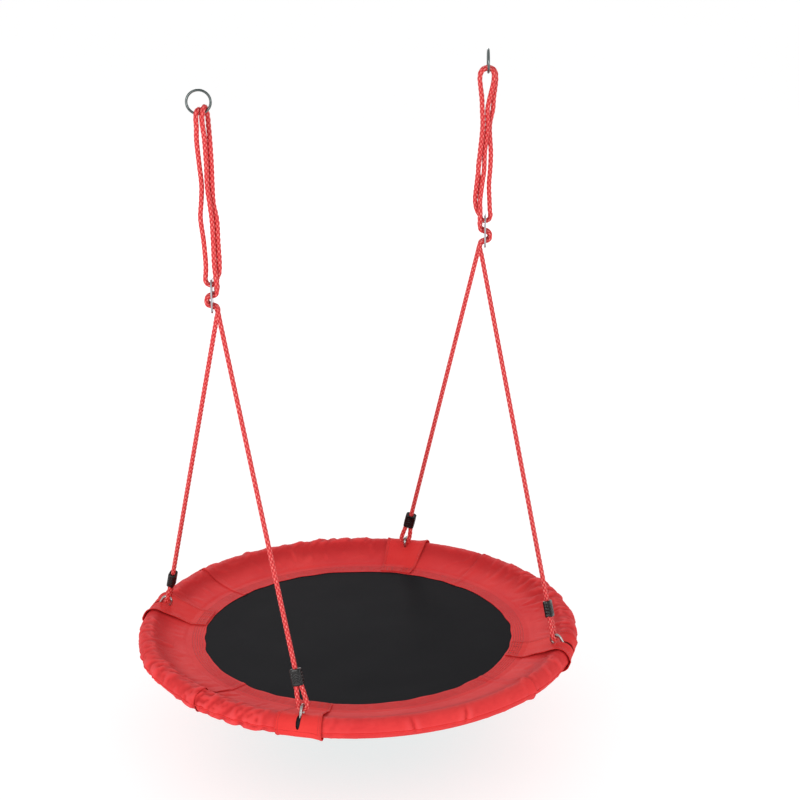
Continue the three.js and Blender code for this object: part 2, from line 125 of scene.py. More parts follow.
# ------------------------------------------------------------------ mesh helpers
def stands_for(made, body, slot, *nodes):
    """The piece rides on its CAD body and is shown in place of the CAD nodes."""
    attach(made, body)
    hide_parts(*nodes)


def new_mesh(name, points, faces, finish, corner_uv=None, floats=None, smooth=True):
    """A mesh object from points and faces, with a UV per face corner and named float values."""
    mesh = bpy.data.meshes.new(name)
    mesh.from_pydata(np.asarray(points, float).tolist(), [], [list(f) for f in faces])
    if corner_uv is not None:
        layer = mesh.uv_layers.new(name="UVMap")
        layer.data.foreach_set("uv", np.asarray(corner_uv, np.float32).ravel())
    for key, values in (floats or {}).items():
        data = mesh.attributes.new(key, "FLOAT", "POINT")
        data.data.foreach_set("value", np.asarray(values, np.float32).ravel())
    if smooth:
        mesh.polygons.foreach_set("use_smooth", [True] * len(mesh.polygons))
    mesh.materials.append(finish)
    mesh.validate()
    mesh.update()
    made = bpy.data.objects.new(name, mesh)
    bpy.context.scene.collection.objects.link(made)
    return made


def grid_faces(ids):
    """Quads between neighbouring entries of a two-way table of point numbers."""
    quads = np.stack([ids[:-1, :-1], ids[1:, :-1], ids[1:, 1:], ids[:-1, 1:]], axis=-1)
    return quads.reshape(-1, 4)


def closed(ids, around=False, along=False):
    """The table of point numbers again, with its first row or column repeated at the end."""
    if around:
        ids = np.concatenate([ids, ids[:, :1]], axis=1)
    if along:
        ids = np.concatenate([ids, ids[:1]], axis=0)
    return ids


def fan(centre, rim):
    """Triangles from a centre to each pair of neighbours on a closed rim."""
    return [[centre, int(a), int(b)] for a, b in zip(rim, np.roll(rim, -1))]


def vertex_normals(points, faces):
    """Area-weighted normals of a mesh of quads."""
    a, b, c, d = (points[faces[:, k]] for k in range(4))
    face = np.cross(c - a, d - b)
    total = np.zeros_like(points)
    for k in range(4):
        np.add.at(total, faces[:, k], face)
    return total / np.maximum(np.linalg.norm(total, axis=1), 1e-12)[:, None]


def thicken(points, faces, thickness):
    """A closed thin body: the given sheet of quads, its copy inside, and a rim on every edge."""
    count = len(points)
    inner = points - vertex_normals(points, faces) * thickness
    starts, ends = faces.ravel(), np.roll(faces, -1, axis=1).ravel()
    forward, backward = starts * count + ends, ends * count + starts
    rim = ~np.isin(forward, backward)
    a, b = starts[rim], ends[rim]
    walls = np.stack([b, a, a + count, b + count], axis=1)
    return np.concatenate([points, inner]), np.concatenate([faces, faces[:, ::-1] + count, walls])


def smoothstep(x, low=0.0, high=1.0):
    t = np.clip((x - low) / (high - low), 0, 1)
    return t * t * (3 - 2 * t)


def bump(x, width):
    """1 at zero, falling smoothly to 0 at the width."""
    return 1 - smoothstep(np.abs(x), 0, width)


def cubic(values, at, wrap=False):
    """Values along the first axis, read between their places by a smooth curve through them."""
    count = len(values)
    base = np.floor(at).astype(int)
    t = (at - base).reshape((-1,) + (1,) * (values.ndim - 1))
    pick = [(base + k) % count if wrap else np.clip(base + k, 0, count - 1) for k in (-1, 0, 1, 2)]
    a, b, c, d = (values[p] for p in pick)
    return b + 0.5 * t * (c - a + t * (2 * a - 5 * b + 4 * c - d + t * (3 * (b - c) + d - a)))


def transported(path, first=None):
    """Tangents and two crossing directions along a path, turned as little as it allows."""
    tangent = np.gradient(path, axis=0)
    tangent /= np.linalg.norm(tangent, axis=1)[:, None]
    normal = np.zeros_like(path)
    guess = np.array([0.3, 0.2, 1.0]) if first is None else np.asarray(first, float)
    for i, t in enumerate(tangent):
        guess = guess - t * (guess @ t)
        guess = guess / np.linalg.norm(guess)
        normal[i] = guess
    return tangent, normal, np.cross(tangent, normal)


def swept(path, radius, sides, name, finish, loop=False, first=None):
    """A round bar along a path, closed into a loop or with flat ends."""
    path = np.asarray(path, float)
    if loop:
        wide = np.concatenate([path[-2:], path, path[:2]])
        _, normal, side = (x[2:-2] for x in transported(wide, first))
    else:
        _, normal, side = transported(path, first)
    angle = np.arange(sides) * TAU / sides
    radius = np.broadcast_to(np.asarray(radius, float), (len(path),))[:, None, None]
    ring = normal[:, None] * np.cos(angle)[:, None] + side[:, None] * np.sin(angle)[:, None]
    points = (path[:, None] + radius * ring).reshape(-1, 3)
    ids = np.arange(len(points)).reshape(len(path), sides)
    faces = grid_faces(closed(ids, around=True, along=loop)).tolist()
    if not loop:
        faces += [ids[0, ::-1].tolist(), ids[-1].tolist()]
    faces = [f[::-1] for f in faces]
    lengths = np.concatenate([[0], np.cumsum(np.linalg.norm(np.diff(path, axis=0), axis=1))])
    lengths = np.append(lengths, lengths[-1] + lengths[1]) if loop else lengths
    uv = []
    for f in faces[: len(faces) - (0 if loop else 2)]:
        rows = [v // sides for v in f]
        columns = [v % sides for v in f]
        last_row = loop and max(rows) == len(path) - 1 and min(rows) == 0
        last_column = max(columns) == sides - 1 and min(columns) == 0
        for r, c in zip(rows, columns):
            r = len(path) if last_row and r == 0 else r
            c = sides if last_column and c == 0 else c
            uv.append((c / sides * TAU * float(radius[0, 0, 0]), lengths[r]))
    uv += [(0.0, 0.0)] * (0 if loop else 2 * sides)
    return new_mesh(name, points, faces, finish, uv)


def lathe(name, profile, finish, place, sides=28):
    """A body turned about a vertical axis. The profile runs from the axis, out and back to it."""
    points, rings = [], []
    for r, z in profile:
        turn = [0.0] if r < 1e-9 else [TAU * k / sides for k in range(sides)]
        rings.append(list(range(len(points), len(points) + len(turn))))
        points += [(place[0] + r * math.cos(a), place[1] + r * math.sin(a), place[2] + z) for a in turn]
    faces = []
    for low, high in zip(rings, rings[1:]):
        if len(low) == 1:
            faces += fan(low[0], high[::-1])
        elif len(high) == 1:
            faces += fan(high[0], low)
        else:
            faces += grid_faces(closed(np.array([low, high]), around=True))[:, ::-1].tolist()
    uv = [(points[v][0], points[v][1]) for f in faces for v in f]
    return new_mesh(name, points, faces, finish, uv)


# ------------------------------------------------------------------ materials
def srgb(red, green, blue):
    """A colour as it is seen on a screen, 0 to 255, as the linear values that a shader takes."""
    seen = (c / 255 for c in (red, green, blue))
    return tuple(c / 12.92 if c <= 0.04045 else ((c + 0.055) / 1.055) ** 2.4 for c in seen) + (1.0,)


class Finish:
    """A procedural material: plain values on the shader's sockets, and nodes for what varies."""

    def __init__(self, name, **values):
        self.material = bpy.data.materials.new(name)
        self.material.use_nodes = True
        self.nodes = self.material.node_tree.nodes
        self.links = self.material.node_tree.links
        self.shader = self.nodes["Principled BSDF"]
        for key, value in values.items():
            self.shader.inputs[key.replace("_", " ")].default_value = value

    def node(self, kind, **inputs):
        made = self.nodes.new(f"ShaderNode{kind}")
        for key, value in inputs.items():
            self.feed(value, made.inputs[key])
        return made

    def feed(self, value, socket):
        if isinstance(value, bpy.types.NodeSocket):
            self.links.new(value, socket)
        else:
            socket.default_value = value

    def math(self, operation, a, b=0.0):
        made = self.nodes.new("ShaderNodeMath")
        made.operation = operation
        self.feed(a, made.inputs[0])
        self.feed(b, made.inputs[1])
        return made.outputs[0]

    def noise(self, scale, detail=2.0, roughness=0.5, vector=None):
        made = self.node("TexNoise", Scale=scale, Detail=detail, Roughness=roughness)
        self.feed(vector or self.node("TexCoord").outputs["Object"], made.inputs["Vector"])
        return made.outputs["Fac"]

    def ramp(self, factor, low, high):
        """The factor stretched from the range low..high to 0..1, and held there."""
        made = self.node("MapRange", Value=factor)
        made.inputs["From Min"].default_value = low
        made.inputs["From Max"].default_value = high
        return made.outputs["Result"]

    def between(self, factor, low, high):
        """The factor 0..1 stretched to the range low..high."""
        made = self.node("MapRange", Value=factor)
        made.inputs["To Min"].default_value = low
        made.inputs["To Max"].default_value = high
        return made.outputs["Result"]

    def mix(self, factor, first, second):
        made = self.nodes.new("ShaderNodeMix")
        made.data_type = "RGBA"
        self.feed(factor, made.inputs[0])
        self.feed(first, made.inputs[6])
        self.feed(second, made.inputs[7])
        return made.outputs[2]

    def uv(self):
        parts = self.node("SeparateXYZ", Vector=self.node("UVMap").outputs["UV"])
        return parts.outputs[0], parts.outputs[1]

    def attribute(self, name):
        made = self.nodes.new("ShaderNodeAttribute")
        made.attribute_name = name
        return made.outputs["Fac"]

    def relief(self, height, distance, strength=1.0, under=None):
        made = self.node("Bump", Height=height, Distance=distance, Strength=strength)
        if under is not None:
            self.links.new(under, made.inputs["Normal"])
        return made.outputs["Normal"]

    def set(self, **sockets):
        for key, value in sockets.items():
            self.feed(value, self.shader.inputs[key.replace("_", " ")])
        return self.material


def woven(finish, pitch):
    """Plain weave: threads of one pitch both ways, 1 on their crowns and 0 between them."""
    turn = TAU / pitch / 2
    across, along = (finish.math("SINE", finish.math("MULTIPLY", way, turn)) for way in finish.uv())
    return finish.math("ABSOLUTE", finish.math("MULTIPLY", across, along))


def cloth_finish(name, bright, deep, tint):
    """Coated polyester cloth: a fine weave, a soft sheen, and a slow, random change of tone. It has a
    painted highlight on the crests of its folds and painted shade in the valleys between them."""
    # Colours of the painted highlight on fold crests and of the painted shade in fold valleys.
    crest, valley = srgb(240, 84, 88), srgb(168, 22, 26)
    f = Finish(name, Specular_IOR_Level=0.05, Sheen_Weight=0.02, Sheen_Roughness=0.45)
    f.shader.inputs["Sheen Tint"].default_value = tint
    weave = woven(f, 0.9 * MM)
    broad = f.ramp(f.noise(7.0, 4.0, 0.6), 0.32, 0.68)
    fine = f.ramp(f.noise(900.0, 2.0), 0.3, 0.7)
    fold_light_share = f.attribute("fold_light_share")
    shade = f.mix(broad, deep, bright)
    valley_shade_share = f.math("MULTIPLY", fold_light_share, -1.0)
    # Painted highlight on the crests of the folds, then painted shade in their valleys.
    shade = f.mix(f.math("MULTIPLY", f.ramp(fold_light_share, 0.05, 1.0), 0.6), shade, crest)
    shade = f.mix(f.math("MULTIPLY", f.ramp(valley_shade_share, 0.05, 1.0), 0.75), shade, valley)
    # Painted shade in the gaps between the threads of the weave.
    threads = f.mix(f.math("MULTIPLY", f.math("SUBTRACT", 1.0, weave), 0.25), shade, deep)
    specks = f.mix(f.math("MULTIPLY", fine, 0.04), threads, (0.9, 0.3, 0.28, 1.0))
    puckers = f.relief(f.noise(140.0, 3.0, 0.55), 0.0006, 0.35)
    normal = f.relief(weave, 0.00012, 0.6, puckers)
    roughness = f.between(f.noise(30.0, 3.0), 0.5, 0.68)
    return f.set(Base_Color=specks, Roughness=roughness, Normal=normal)


def mat_finish():
    """The black mat: tight woven cloth with a faint satin shine, partly painted as lighter crowns on
    the threads.
    """
    f = Finish("mat_cloth", Specular_IOR_Level=0.02)
    weave = woven(f, 1.6 * MM)
    clouds = f.ramp(f.noise(6.0, 5.0, 0.65), 0.3, 0.7)
    shade = f.mix(clouds, srgb(24, 24, 26), srgb(28, 28, 30))
    # Painted highlight on the crowns of the threads.
    threads = f.mix(f.math("MULTIPLY", weave, 0.3), shade, srgb(36, 36, 39))
    normal = f.relief(weave, 0.00015, 0.6, f.relief(f.noise(45.0, 4.0), 0.0004, 0.2))
    return f.set(Base_Color=threads, Roughness=f.between(clouds, 0.6, 0.66), Normal=normal)


def rope_finish():
    """Braided polypropylene: painted shade where the strands cross, a painted highlight on the lumps,
    and pale painted glints on their tops.
    """
    f = Finish("braided_rope", Specular_IOR_Level=0.3)
    lump = f.attribute("lump")
    yarn = f.math("SINE", f.math("MULTIPLY", f.attribute("yarn"), TAU * 5))
    glint_breakup = f.ramp(f.noise(260.0, 2.0), 0.42, 0.6)
    # Painted shade where the strands cross, painted highlight on the lumps.
    body = f.mix(f.ramp(lump, 0.25, 0.8), srgb(170, 24, 30), srgb(226, 60, 62))
    # Pale pink painted glints on the tops of the lumps, broken up by noise.
    painted_glint = f.math("MULTIPLY", f.ramp(lump, 0.74, 1.0), f.between(glint_breakup, 0.25, 0.9))
    colour = f.mix(painted_glint, body, srgb(255, 158, 150))
    normal = f.relief(yarn, 0.0002, 0.5, f.relief(f.noise(1500.0, 2.0), 0.0002, 0.3))
    return f.set(Base_Color=colour, Roughness=f.between(lump, 0.62, 0.42), Normal=normal)


def thread_finish():
    """Sewing thread, a little deeper in colour than the cloth."""
    f = Finish("thread", Specular_IOR_Level=0.5, Sheen_Weight=0.2)
    tone = f.ramp(f.noise(60.0, 3.0), 0.35, 0.65)
    return f.set(
        Base_Color=f.mix(tone, srgb(160, 20, 26), srgb(182, 32, 36)),
        Roughness=f.between(tone, 0.45, 0.6),
        Normal=f.relief(f.noise(2400.0, 2.0), 0.0001, 0.5),
    )


def plastic_finish():
    """Glossy black nylon with a fine moulding texture and a clouded tone."""
    f = Finish("clamp_nylon", Specular_IOR_Level=0.3, Coat_Weight=0.12, Coat_Roughness=0.1)
    tone = f.ramp(f.noise(90.0, 4.0), 0.3, 0.7)
    return f.set(
        Base_Color=f.mix(tone, srgb(9, 9, 10), srgb(17, 17, 18)),
        Roughness=f.between(tone, 0.24, 0.4),
        Normal=f.relief(f.noise(1400.0, 2.0), 0.00008, 0.5),
    )


def metal_finish(name, dark, light, rough, brush=0.0):
    """Plated or bare steel: a clouded tone, and fine drawing marks along the bar."""
    f = Finish(name, Metallic=1.0)
    tone = f.ramp(f.noise(55.0, 5.0, 0.6), 0.3, 0.7)
    u, v = f.uv()
    stretch = f.node("CombineXYZ", X=f.math("MULTIPLY", u, 9000.0), Y=f.math("MULTIPLY", v, 90.0))
    marks = f.noise(1.0, 3.0, 0.6, stretch.outputs[0])
    return f.set(
        Base_Color=f.mix(tone, dark, light),
        Roughness=f.between(f.math("MULTIPLY_ADD", marks, 0.4), *rough),
        Normal=f.relief(marks, 0.00002 + brush, 0.4),
    )


def foam_finish():
    """Closed-cell foam: dark, with fine cells."""
    f = Finish("closed_cell_foam", Specular_IOR_Level=0.2)
    cells = f.node("TexVoronoi", Scale=420.0)
    f.feed(f.node("TexCoord").outputs["Object"], cells.inputs["Vector"])
    size = f.ramp(cells.outputs["Distance"], 0.0, 0.7)
    return f.set(
        Base_Color=f.mix(size, srgb(20, 20, 22), srgb(44, 44, 47)),
        Roughness=f.between(size, 0.8, 0.95),
        Normal=f.relief(size, 0.0006, 0.7),
    )


COVER_CLOTH = cloth_finish("cover_cloth", srgb(232, 66, 65), srgb(217, 53, 56), (1.0, 0.55, 0.7, 1.0))
CUFF_CLOTH = cloth_finish("cuff_cloth", srgb(232, 60, 57), srgb(219, 47, 48), (1.0, 0.6, 0.7, 1.0))
MAT_CLOTH = mat_finish()
ROPE = rope_finish()
THREAD = thread_finish()
NYLON = plastic_finish()
RING_STEEL = metal_finish("ring_steel", srgb(74, 82, 81), srgb(120, 128, 127), (0.16, 0.34))
CHROME = metal_finish("chrome_plate", srgb(150, 152, 156), srgb(190, 192, 195), (0.12, 0.24))
EYE_STEEL = metal_finish("eye_steel", srgb(150, 150, 148), srgb(190, 190, 186), (0.2, 0.36))
SCREW_STEEL = metal_finish("screw_steel", srgb(170, 172, 176), srgb(205, 206, 210), (0.25, 0.4))
TUBE_STEEL = metal_finish("tube_steel", srgb(150, 153, 156), srgb(186, 188, 190), (0.32, 0.5))
FOAM = foam_finish()


# ------------------------------------------------------------------ rope route
# Points are [single side, along, z] in millimetres. The single side is where one strand
# climbs alone; the other three climb together on the opposite side.
ROUTES = {
    "left": {
        "sign": -1,
        "bights": [
            [[-7.5, -15.5, -67], [-8.5, -13.5, -53], [-10.5, -8, -39.8], [-13, 0, -35.6],
             [-15.5, 8, -40.4], [-17.5, 13.5, -53], [-18.5, 15.5, -67]],
            [[6.3, -15.5, -67], [6, -14, -54], [4, -8.5, -44], [1, 0, -42],
             [-2, 8.5, -44], [-3.5, 14, -54], [-4, 15.5, -67]],
        ],
        "ends": [[-8, -14.5, -80], [-18.7, 14, -80], [6.5, -14, -80], [-4.6, 15, -80]],
        "strands": [
            [[-9.2, -7.5, -112], [-9.2, -6.3, -171], [-7.8, -6.3, -221], [-11, -9, -264],
             [-12.8, -6.3, -300], [-12.2, -6.3, -356], [-11, -7.2, -412], [-12.4, -11.6, -432]],
            [[-20.4, 2.5, -112], [-20.4, 0, -171], [-18.9, 0, -221], [-18.6, 1.5, -264],
             [-23.6, 0, -300], [-23, 0, -356], [-22.4, 0, -412], [-19.6, 0, -432]],
            [[9.2, -3, -112], [7.4, 0, -171], [5.6, 0, -221], [9.7, 0, -264],
             [13.5, 0, -295], [10, 0, -356], [9.2, 0, -412], [10.8, 0, -432]],
            [[-8.4, 8.5, -112], [-9.2, 6.3, -171], [-7.8, 6.3, -221], [-9.5, 10.5, -264],
             [-12.8, 6.3, -300], [-12.2, 6.3, -356], [-11, 7.2, -412], [-12.4, 11.6, -432]],
        ],
    },
    "right": {
        "sign": 1,
        "bights": [
            [[13.6, -6.4, -66], [12.8, -6.4, -52], [7, -6.4, -43.6], [0, -6.4, -41],
             [-8, -6.4, -42.6], [-16.6, -6.4, -50], [-20, -6.4, -65]],
            [[19, 6.4, -66], [16.5, 6.4, -51], [8, 6.4, -43], [0, 6.4, -41],
             [-8, 6.4, -42.6], [-16.6, 6.4, -50], [-20, 6.4, -65]],
        ],
        "ends": [[12, -6.4, -80], [-18.8, -6.4, -80], [18.6, 6.4, -80], [-18.8, 6.4, -80]],
        "strands": [
            [[4, -6.3, -117], [0, -3.5, -143], [1.2, -1, -185], [-4.6, 0, -253],
             [-5.2, -3, -293], [-9.5, -6.5, -330], [-13.5, -6.8, -372], [-12.6, -11.6, -395]],
            [[-14.5, -6.4, -117], [-12.7, -6.6, -143], [-10.8, -6.6, -185], [-16, -6.5, -253],
             [-19.4, -6.4, -293], [-22.8, -3.2, -330], [-25.5, 0, -372], [-20.6, 0, -395]],
            [[14.7, 6.3, -117], [13.6, 7.5, -143], [6.8, 11, -185], [10.6, 3, -253],
             [9.7, 0, -293], [7.6, 0, -330], [9.6, 0, -372], [11, 0, -395]],
            [[-13.5, 6.4, -117], [-12.7, 6.6, -143], [-10.8, 6.6, -185], [-16, 6.6, -253],
             [-19.4, 6.4, -293], [-15, 8.8, -330], [-13.5, 6.8, -372], [-12.6, 11.6, -395]],
        ],
    },
}
PASS = 7.0                     # half spacing of two ropes that share one slot, in millimetres
TURN = PLATE_PITCH / 2 / MM
RUNS = (
    "front_eye_loop", "front_leg", "front_weave", "strand_1", "ring_bight_1", "strand_2",
    "plate_bight", "strand_3", "ring_bight_2", "strand_4", "back_weave", "back_leg",
    "back_eye_loop",
)


def placed(side, points):
    """World places of route points, offset from the line between the ring's foot and the plate."""
    sign = ROUTES[side]["sign"]
    ring, plate = middle(f"hanger_ring_{side}"), middle(f"adjuster_plate_{side}")
    foot_z = HOOK_Z - HOOK_RADIUS
    single, along, z = (np.array(points, float) * MM).T
    t = np.clip((z - foot_z) / (plate.z - foot_z), 0, 1)
    line = np.stack([ring.x + (plate.x - ring.x) * t, 0 * z, z], axis=1)
    return line + ACROSS * (single * sign)[:, None] + ALONG * along[:, None]


def turned(centre_z, from_degrees, to_degrees, along_of):
    """Part of a circle of the weave, in steps of 45 degrees."""
    count = round(abs(to_degrees - from_degrees) / 45)
    made = []
    for i in range(count + 1):
        a = math.radians(from_degrees + (to_degrees - from_degrees) * i / count)
        made.append([TURN * math.cos(a), along_of(i / count), centre_z + TURN * math.sin(a)])
    return made


def weave(side, row):
    """From the leg through the bottom slot, up the single side and back through the middle."""
    z = middle(f"adjuster_plate_{side}").z / MM
    points = turned(z - 3 * TURN, 180, 90, lambda t: row * PASS)
    points += turned(z - TURN, -90, 90, lambda t: row * PASS)[1:]
    points += turned(z + TURN, 270, 180, lambda t: row * (PASS + 3 * t))[1:]
    return placed(side, [*points, [-TURN, row * 12.7, z + 2 * TURN]])


def eye_frame(side, row, leg_top):
    """The top of an eye's arch, and the directions of the loop that hangs from it."""
    azimuth = math.atan2(row, ROUTES[side]["sign"])
    out = np.array([math.cos(azimuth), math.sin(azimuth), 0])
    lean = -math.sin(EYE["lean"]) * out + math.cos(EYE["lean"]) * np.array([0, 0, 1])
    apex = RING_RADIUS * out + np.array([0, 0, DISC_Z])
    apex = apex + lean * (EYE["arch_height"] + EYE["arch_radius"])
    up = leg_top - apex
    up /= np.linalg.norm(up)
    tangent = np.array([-math.sin(azimuth), math.cos(azimuth), 0])
    sideways = tangent - up * (tangent @ up)
    sideways /= np.linalg.norm(sideways)
    return {"apex": apex, "lean": lean, "tangent": tangent, "up": up, "out": out,
            "sideways": sideways, "normal": np.cross(sideways, up)}


def eye_loop(f):
    """The rope's end: down out of the clamp, under the arch and back up into the clamp."""
    bend = EYE["wire"] / MM + ROPE_DIAMETER / 2 / MM + 0.7
    low = (CLAMP["above"] - CLAMP["height"] / 2) / MM

    def at(sideways, up):
        return f["apex"] + (f["sideways"] * sideways + f["up"] * up) * MM

    under = [
        f["apex"] + (f["tangent"] * math.cos(a) + f["lean"] * math.sin(a)) * bend * MM
        for a in np.radians([180, 225, 270, 315, 360])
    ]
    down = [at(-6.4, low + 16), at(-6.4, low), at(-9.2, low * 0.45)]
    back = [at(9.2, low * 0.45), at(6.4, low), at(6.2, low + 15), at(1.5, low + 32)]
    return np.array([*down, *under, *back, at(0, low + CLAMP["height"] / MM + 4)])


def smooth_curve(points, per_span):
    """The curve through all the points whose speed follows the root of their spacing."""
    wide = np.concatenate([[2 * points[0] - points[1]], points, [2 * points[-1] - points[-2]]])
    a, b, c, d = wide[:-3], wide[1:-2], wide[2:-1], wide[3:]
    spans = ((a, b), (b, c), (c, d))
    ab, bc, cd = (np.sqrt(np.linalg.norm(y - x, axis=1))[:, None] for x, y in spans)
    start = ((b - a) / ab - (c - a) / (ab + bc) + (c - b) / bc) * bc
    end = ((c - b) / bc - (d - b) / (bc + cd) + (d - c) / cd) * bc
    t = (np.arange(per_span) / per_span)[None, :, None]
    b, c, start, end = (x[:, None] for x in (b, c, start, end))
    curve = b + start * t + (3 * (c - b) - 2 * start - end) * t**2
    curve = curve + (2 * (b - c) + start + end) * t**3
    return np.concatenate([curve.reshape(-1, 3), points[-1:]])


LEG_PLACES = (0.012, 0.04, 0.1, 0.3, 0.5, 0.7, 0.9, 0.97)
ROPE_STEP = 1.5 * MM


def rope_line(side):
    """The whole rope of one side as evenly spaced points, and where its runs meet."""
    route = ROUTES[side]
    weaves = [weave(side, row) for row in (-1, 1)]
    frames = [eye_frame(side, row, w[0]) for row, w in zip((-1, 1), weaves)]
    loops = [eye_loop(f) for f in frames]
    legs = [
        np.array([loop[-1] + (w[0] - loop[-1]) * share for share in LEG_PLACES])
        for loop, w in zip(loops, weaves)
    ]
    strands = [placed(side, [end, *points]) for end, points in zip(route["ends"], route["strands"])]
    z = middle(f"adjuster_plate_{side}").z / MM
    bight = placed(side, turned(z + 3 * TURN, 180, 360, lambda t: 0))
    runs = [
        loops[0], legs[0], weaves[0], strands[0][::-1], placed(side, route["bights"][0]), strands[1],
        bight, strands[2][::-1], placed(side, route["bights"][1]), strands[3], weaves[1][::-1],
        legs[1][::-1], loops[1][::-1],
    ]
    per_span = 24
    fine = smooth_curve(np.concatenate(runs), per_span)
    lengths = np.concatenate([[0], np.cumsum(np.linalg.norm(np.diff(fine, axis=0), axis=1))])
    count = round(lengths[-1] / ROPE_STEP)
    even = np.linspace(0, lengths[-1], count + 1)
    path = np.stack([np.interp(even, lengths, fine[:, k]) for k in range(3)], axis=1)
    ends = np.cumsum([len(r) for r in runs])[:-1] - 1
    marks = [round(lengths[int((e + 0.5) * per_span)] / lengths[-1] * count) for e in ends]
    return path, [0, *marks, count], frames


# ------------------------------------------------------------------ braided rope
BRAID = {"strands": 4, "pitch": 54 * MM, "sides": 28, "core": 4.45 * MM, "relief": 1.6 * MM}


def braid(angle, length):
    """Height of the plait, 0 to 1, and a count across its yarns. Two families of strands wind
    opposite ways and pass over and under each other."""
    n = BRAID["strands"]
    p = n * (angle / TAU + length / BRAID["pitch"])
    q = n * (angle / TAU - length / BRAID["pitch"])
    sign_p, sign_q = (1 - 2 * (np.floor(x) % 2) for x in (p, q))
    round_p, round_q = (np.sqrt(np.abs(np.sin(np.pi * x))) for x in (p, q))
    first = 0.62 * round_p + 0.38 * np.sin(np.pi * q) * sign_p
    second = 0.62 * round_q - 0.38 * np.sin(np.pi * p) * sign_q
    return np.clip(np.maximum(first, second), 0, 1), np.where(first > second, p, q)


def rope_piece(name, rope, first, last):
    """A braided stretch of rope between two of its points."""
    path, frames = rope["path"][first : last + 1], [x[first : last + 1] for x in rope["axes"]]
    sides = BRAID["sides"]
    angle = (np.arange(sides) * TAU / sides)[None]
    length = (np.arange(first, last + 1) * ROPE_STEP)[:, None]
    height, yarn = braid(angle, length)
    radius = (BRAID["core"] + BRAID["relief"] * height)[..., None]
    ring = frames[0][:, None] * np.cos(angle)[..., None]
    ring = ring + frames[1][:, None] * np.sin(angle)[..., None]
    points = (path[:, None] + radius * ring).reshape(-1, 3)
    ids = np.arange(len(points)).reshape(len(path), sides)
    faces = grid_faces(closed(ids, around=True))[:, ::-1].tolist()
    faces += fan(len(points), ids[0, ::-1]) + fan(len(points) + 1, ids[-1])
    points = np.concatenate([points, path[[0, -1]]])
    floats = {"lump": np.append(height.ravel(), [0, 0]), "yarn": np.append(yarn.ravel(), [0, 0])}
    made = new_mesh(name, points, faces, ROPE, floats=floats)
    return made, path


LEG_PARTS = (0, 0.1, 0.3, 0.7, 0.9, 1)
GROUPS = (
    ("front_eye_loop", 0, 1), ("front_leg", 1, 2), ("front_strand", 2, 4), ("ring_bight_1", 4, 5),
    ("middle_strands", 5, 8), ("ring_bight_2", 8, 9), ("back_strand", 9, 11),
    ("back_leg", 11, 12), ("back_eye_loop", 12, 13),
)


def blend_leg(made, line, top, bottom):
    """Bakes a part of a leg in place. The shares of the leg at the part's two ends are worked out, but
    no blend is made."""
    along = bottom - top
    shares = ((point - top) @ along / (along @ along) for point in (line[0], line[-1]))
    low, high = sorted(float(np.clip(share, 0, 1)) for share in shares)
    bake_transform(made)


def rope_pieces(path, marks):
    """Name, runs, first and last point of each piece of a rope, and the ends of its leg."""
    pieces = []
    for label, start, end in GROUPS:
        is_leg = "leg" in label
        stops = [
            round(marks[start] + (marks[end] - marks[start]) * share)
            for share in (LEG_PARTS if is_leg else (0, 1))
        ]
        ends = sorted((path[stops[0]], path[stops[-1]]), key=lambda point: -point[2])
        for number, (first, last) in enumerate(zip(stops, stops[1:]), 1):
            name = f"{label}_{number}" if is_leg else label
            pieces.append((name, RUNS[start:end], first, last, ends))
    return pieces


def make_ropes():
    """Both ropes. Gives the eye frames of each side, which place the clamps as well."""
    clamp_frames = {}
    for side in SIDES:
        path, marks, frames = rope_line(side)
        _, normal, across = transported(path)
        rope = {"path": path, "axes": (normal, across)}
        clamp_frames[side] = dict(zip(("front", "back"), frames))
        for label, runs, first, last, (top, bottom) in rope_pieces(path, marks):
            made, line = rope_piece(f"{label}_{side}", rope, first, last)
            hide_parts(*[f"rope_{side}_{run}" for run in runs])
            if "eye_loop" in label:
                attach(made, f"clamps_{side}")
            elif "leg" in label:
                blend_leg(made, line, top, bottom)
            elif "bight" in label:
                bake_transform(made)
            else:
                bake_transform(made)
    return clamp_frames


CLAMP_FRAMES = make_ropes()


# ------------------------------------------------------------------ section of the cover
COVER = {"radius": 24.4 * MM, "cloth": 1.2 * MM, "top": -8.6 * MM, "bottom": -15.4 * MM,
         "edge": 387 * MM, "sewn": 432 * MM}
SEAM_AT = -3                    # degrees round the pad where top and bottom cloth are sewn
CLOTH_COLUMNS, CLOTH_ROWS = 420, 42
COLUMNS = 2 * CLOTH_COLUMNS


def touch_angle(r, z, radius, side):
    """Where a straight line from (r, z) meets the round of the pad, side +1 above, -1 below."""
    dr = RING_RADIUS - r
    return math.atan2(-z, dr) + side * (math.asin(radius / math.hypot(dr, z)) + math.pi / 2)


def pad_outline():
    """The cover's outline round the pad, from the sewn line above to the one below, with its
    length measured along it."""
    radius = COVER["radius"]
    top = touch_angle(COVER["sewn"], COVER["top"], radius, 1)
    bottom = touch_angle(COVER["sewn"], COVER["bottom"], radius, -1)
    turn = np.linspace(top, bottom, 160)
    arc = [(RING_RADIUS + radius * math.cos(a), radius * math.sin(a)) for a in turn]
    points = np.array([(COVER["sewn"], COVER["top"]), *arc, (COVER["sewn"], COVER["bottom"])])
    lengths = np.concatenate([[0], np.cumsum(np.linalg.norm(np.diff(points, axis=0), axis=1))])
    angles = np.concatenate([[math.pi], turn, [-math.pi]])
    return points, lengths, angles


OUTLINE, OUTLINE_LENGTHS, OUTLINE_ANGLES = pad_outline()
PAD_LENGTH = OUTLINE_LENGTHS[-1]


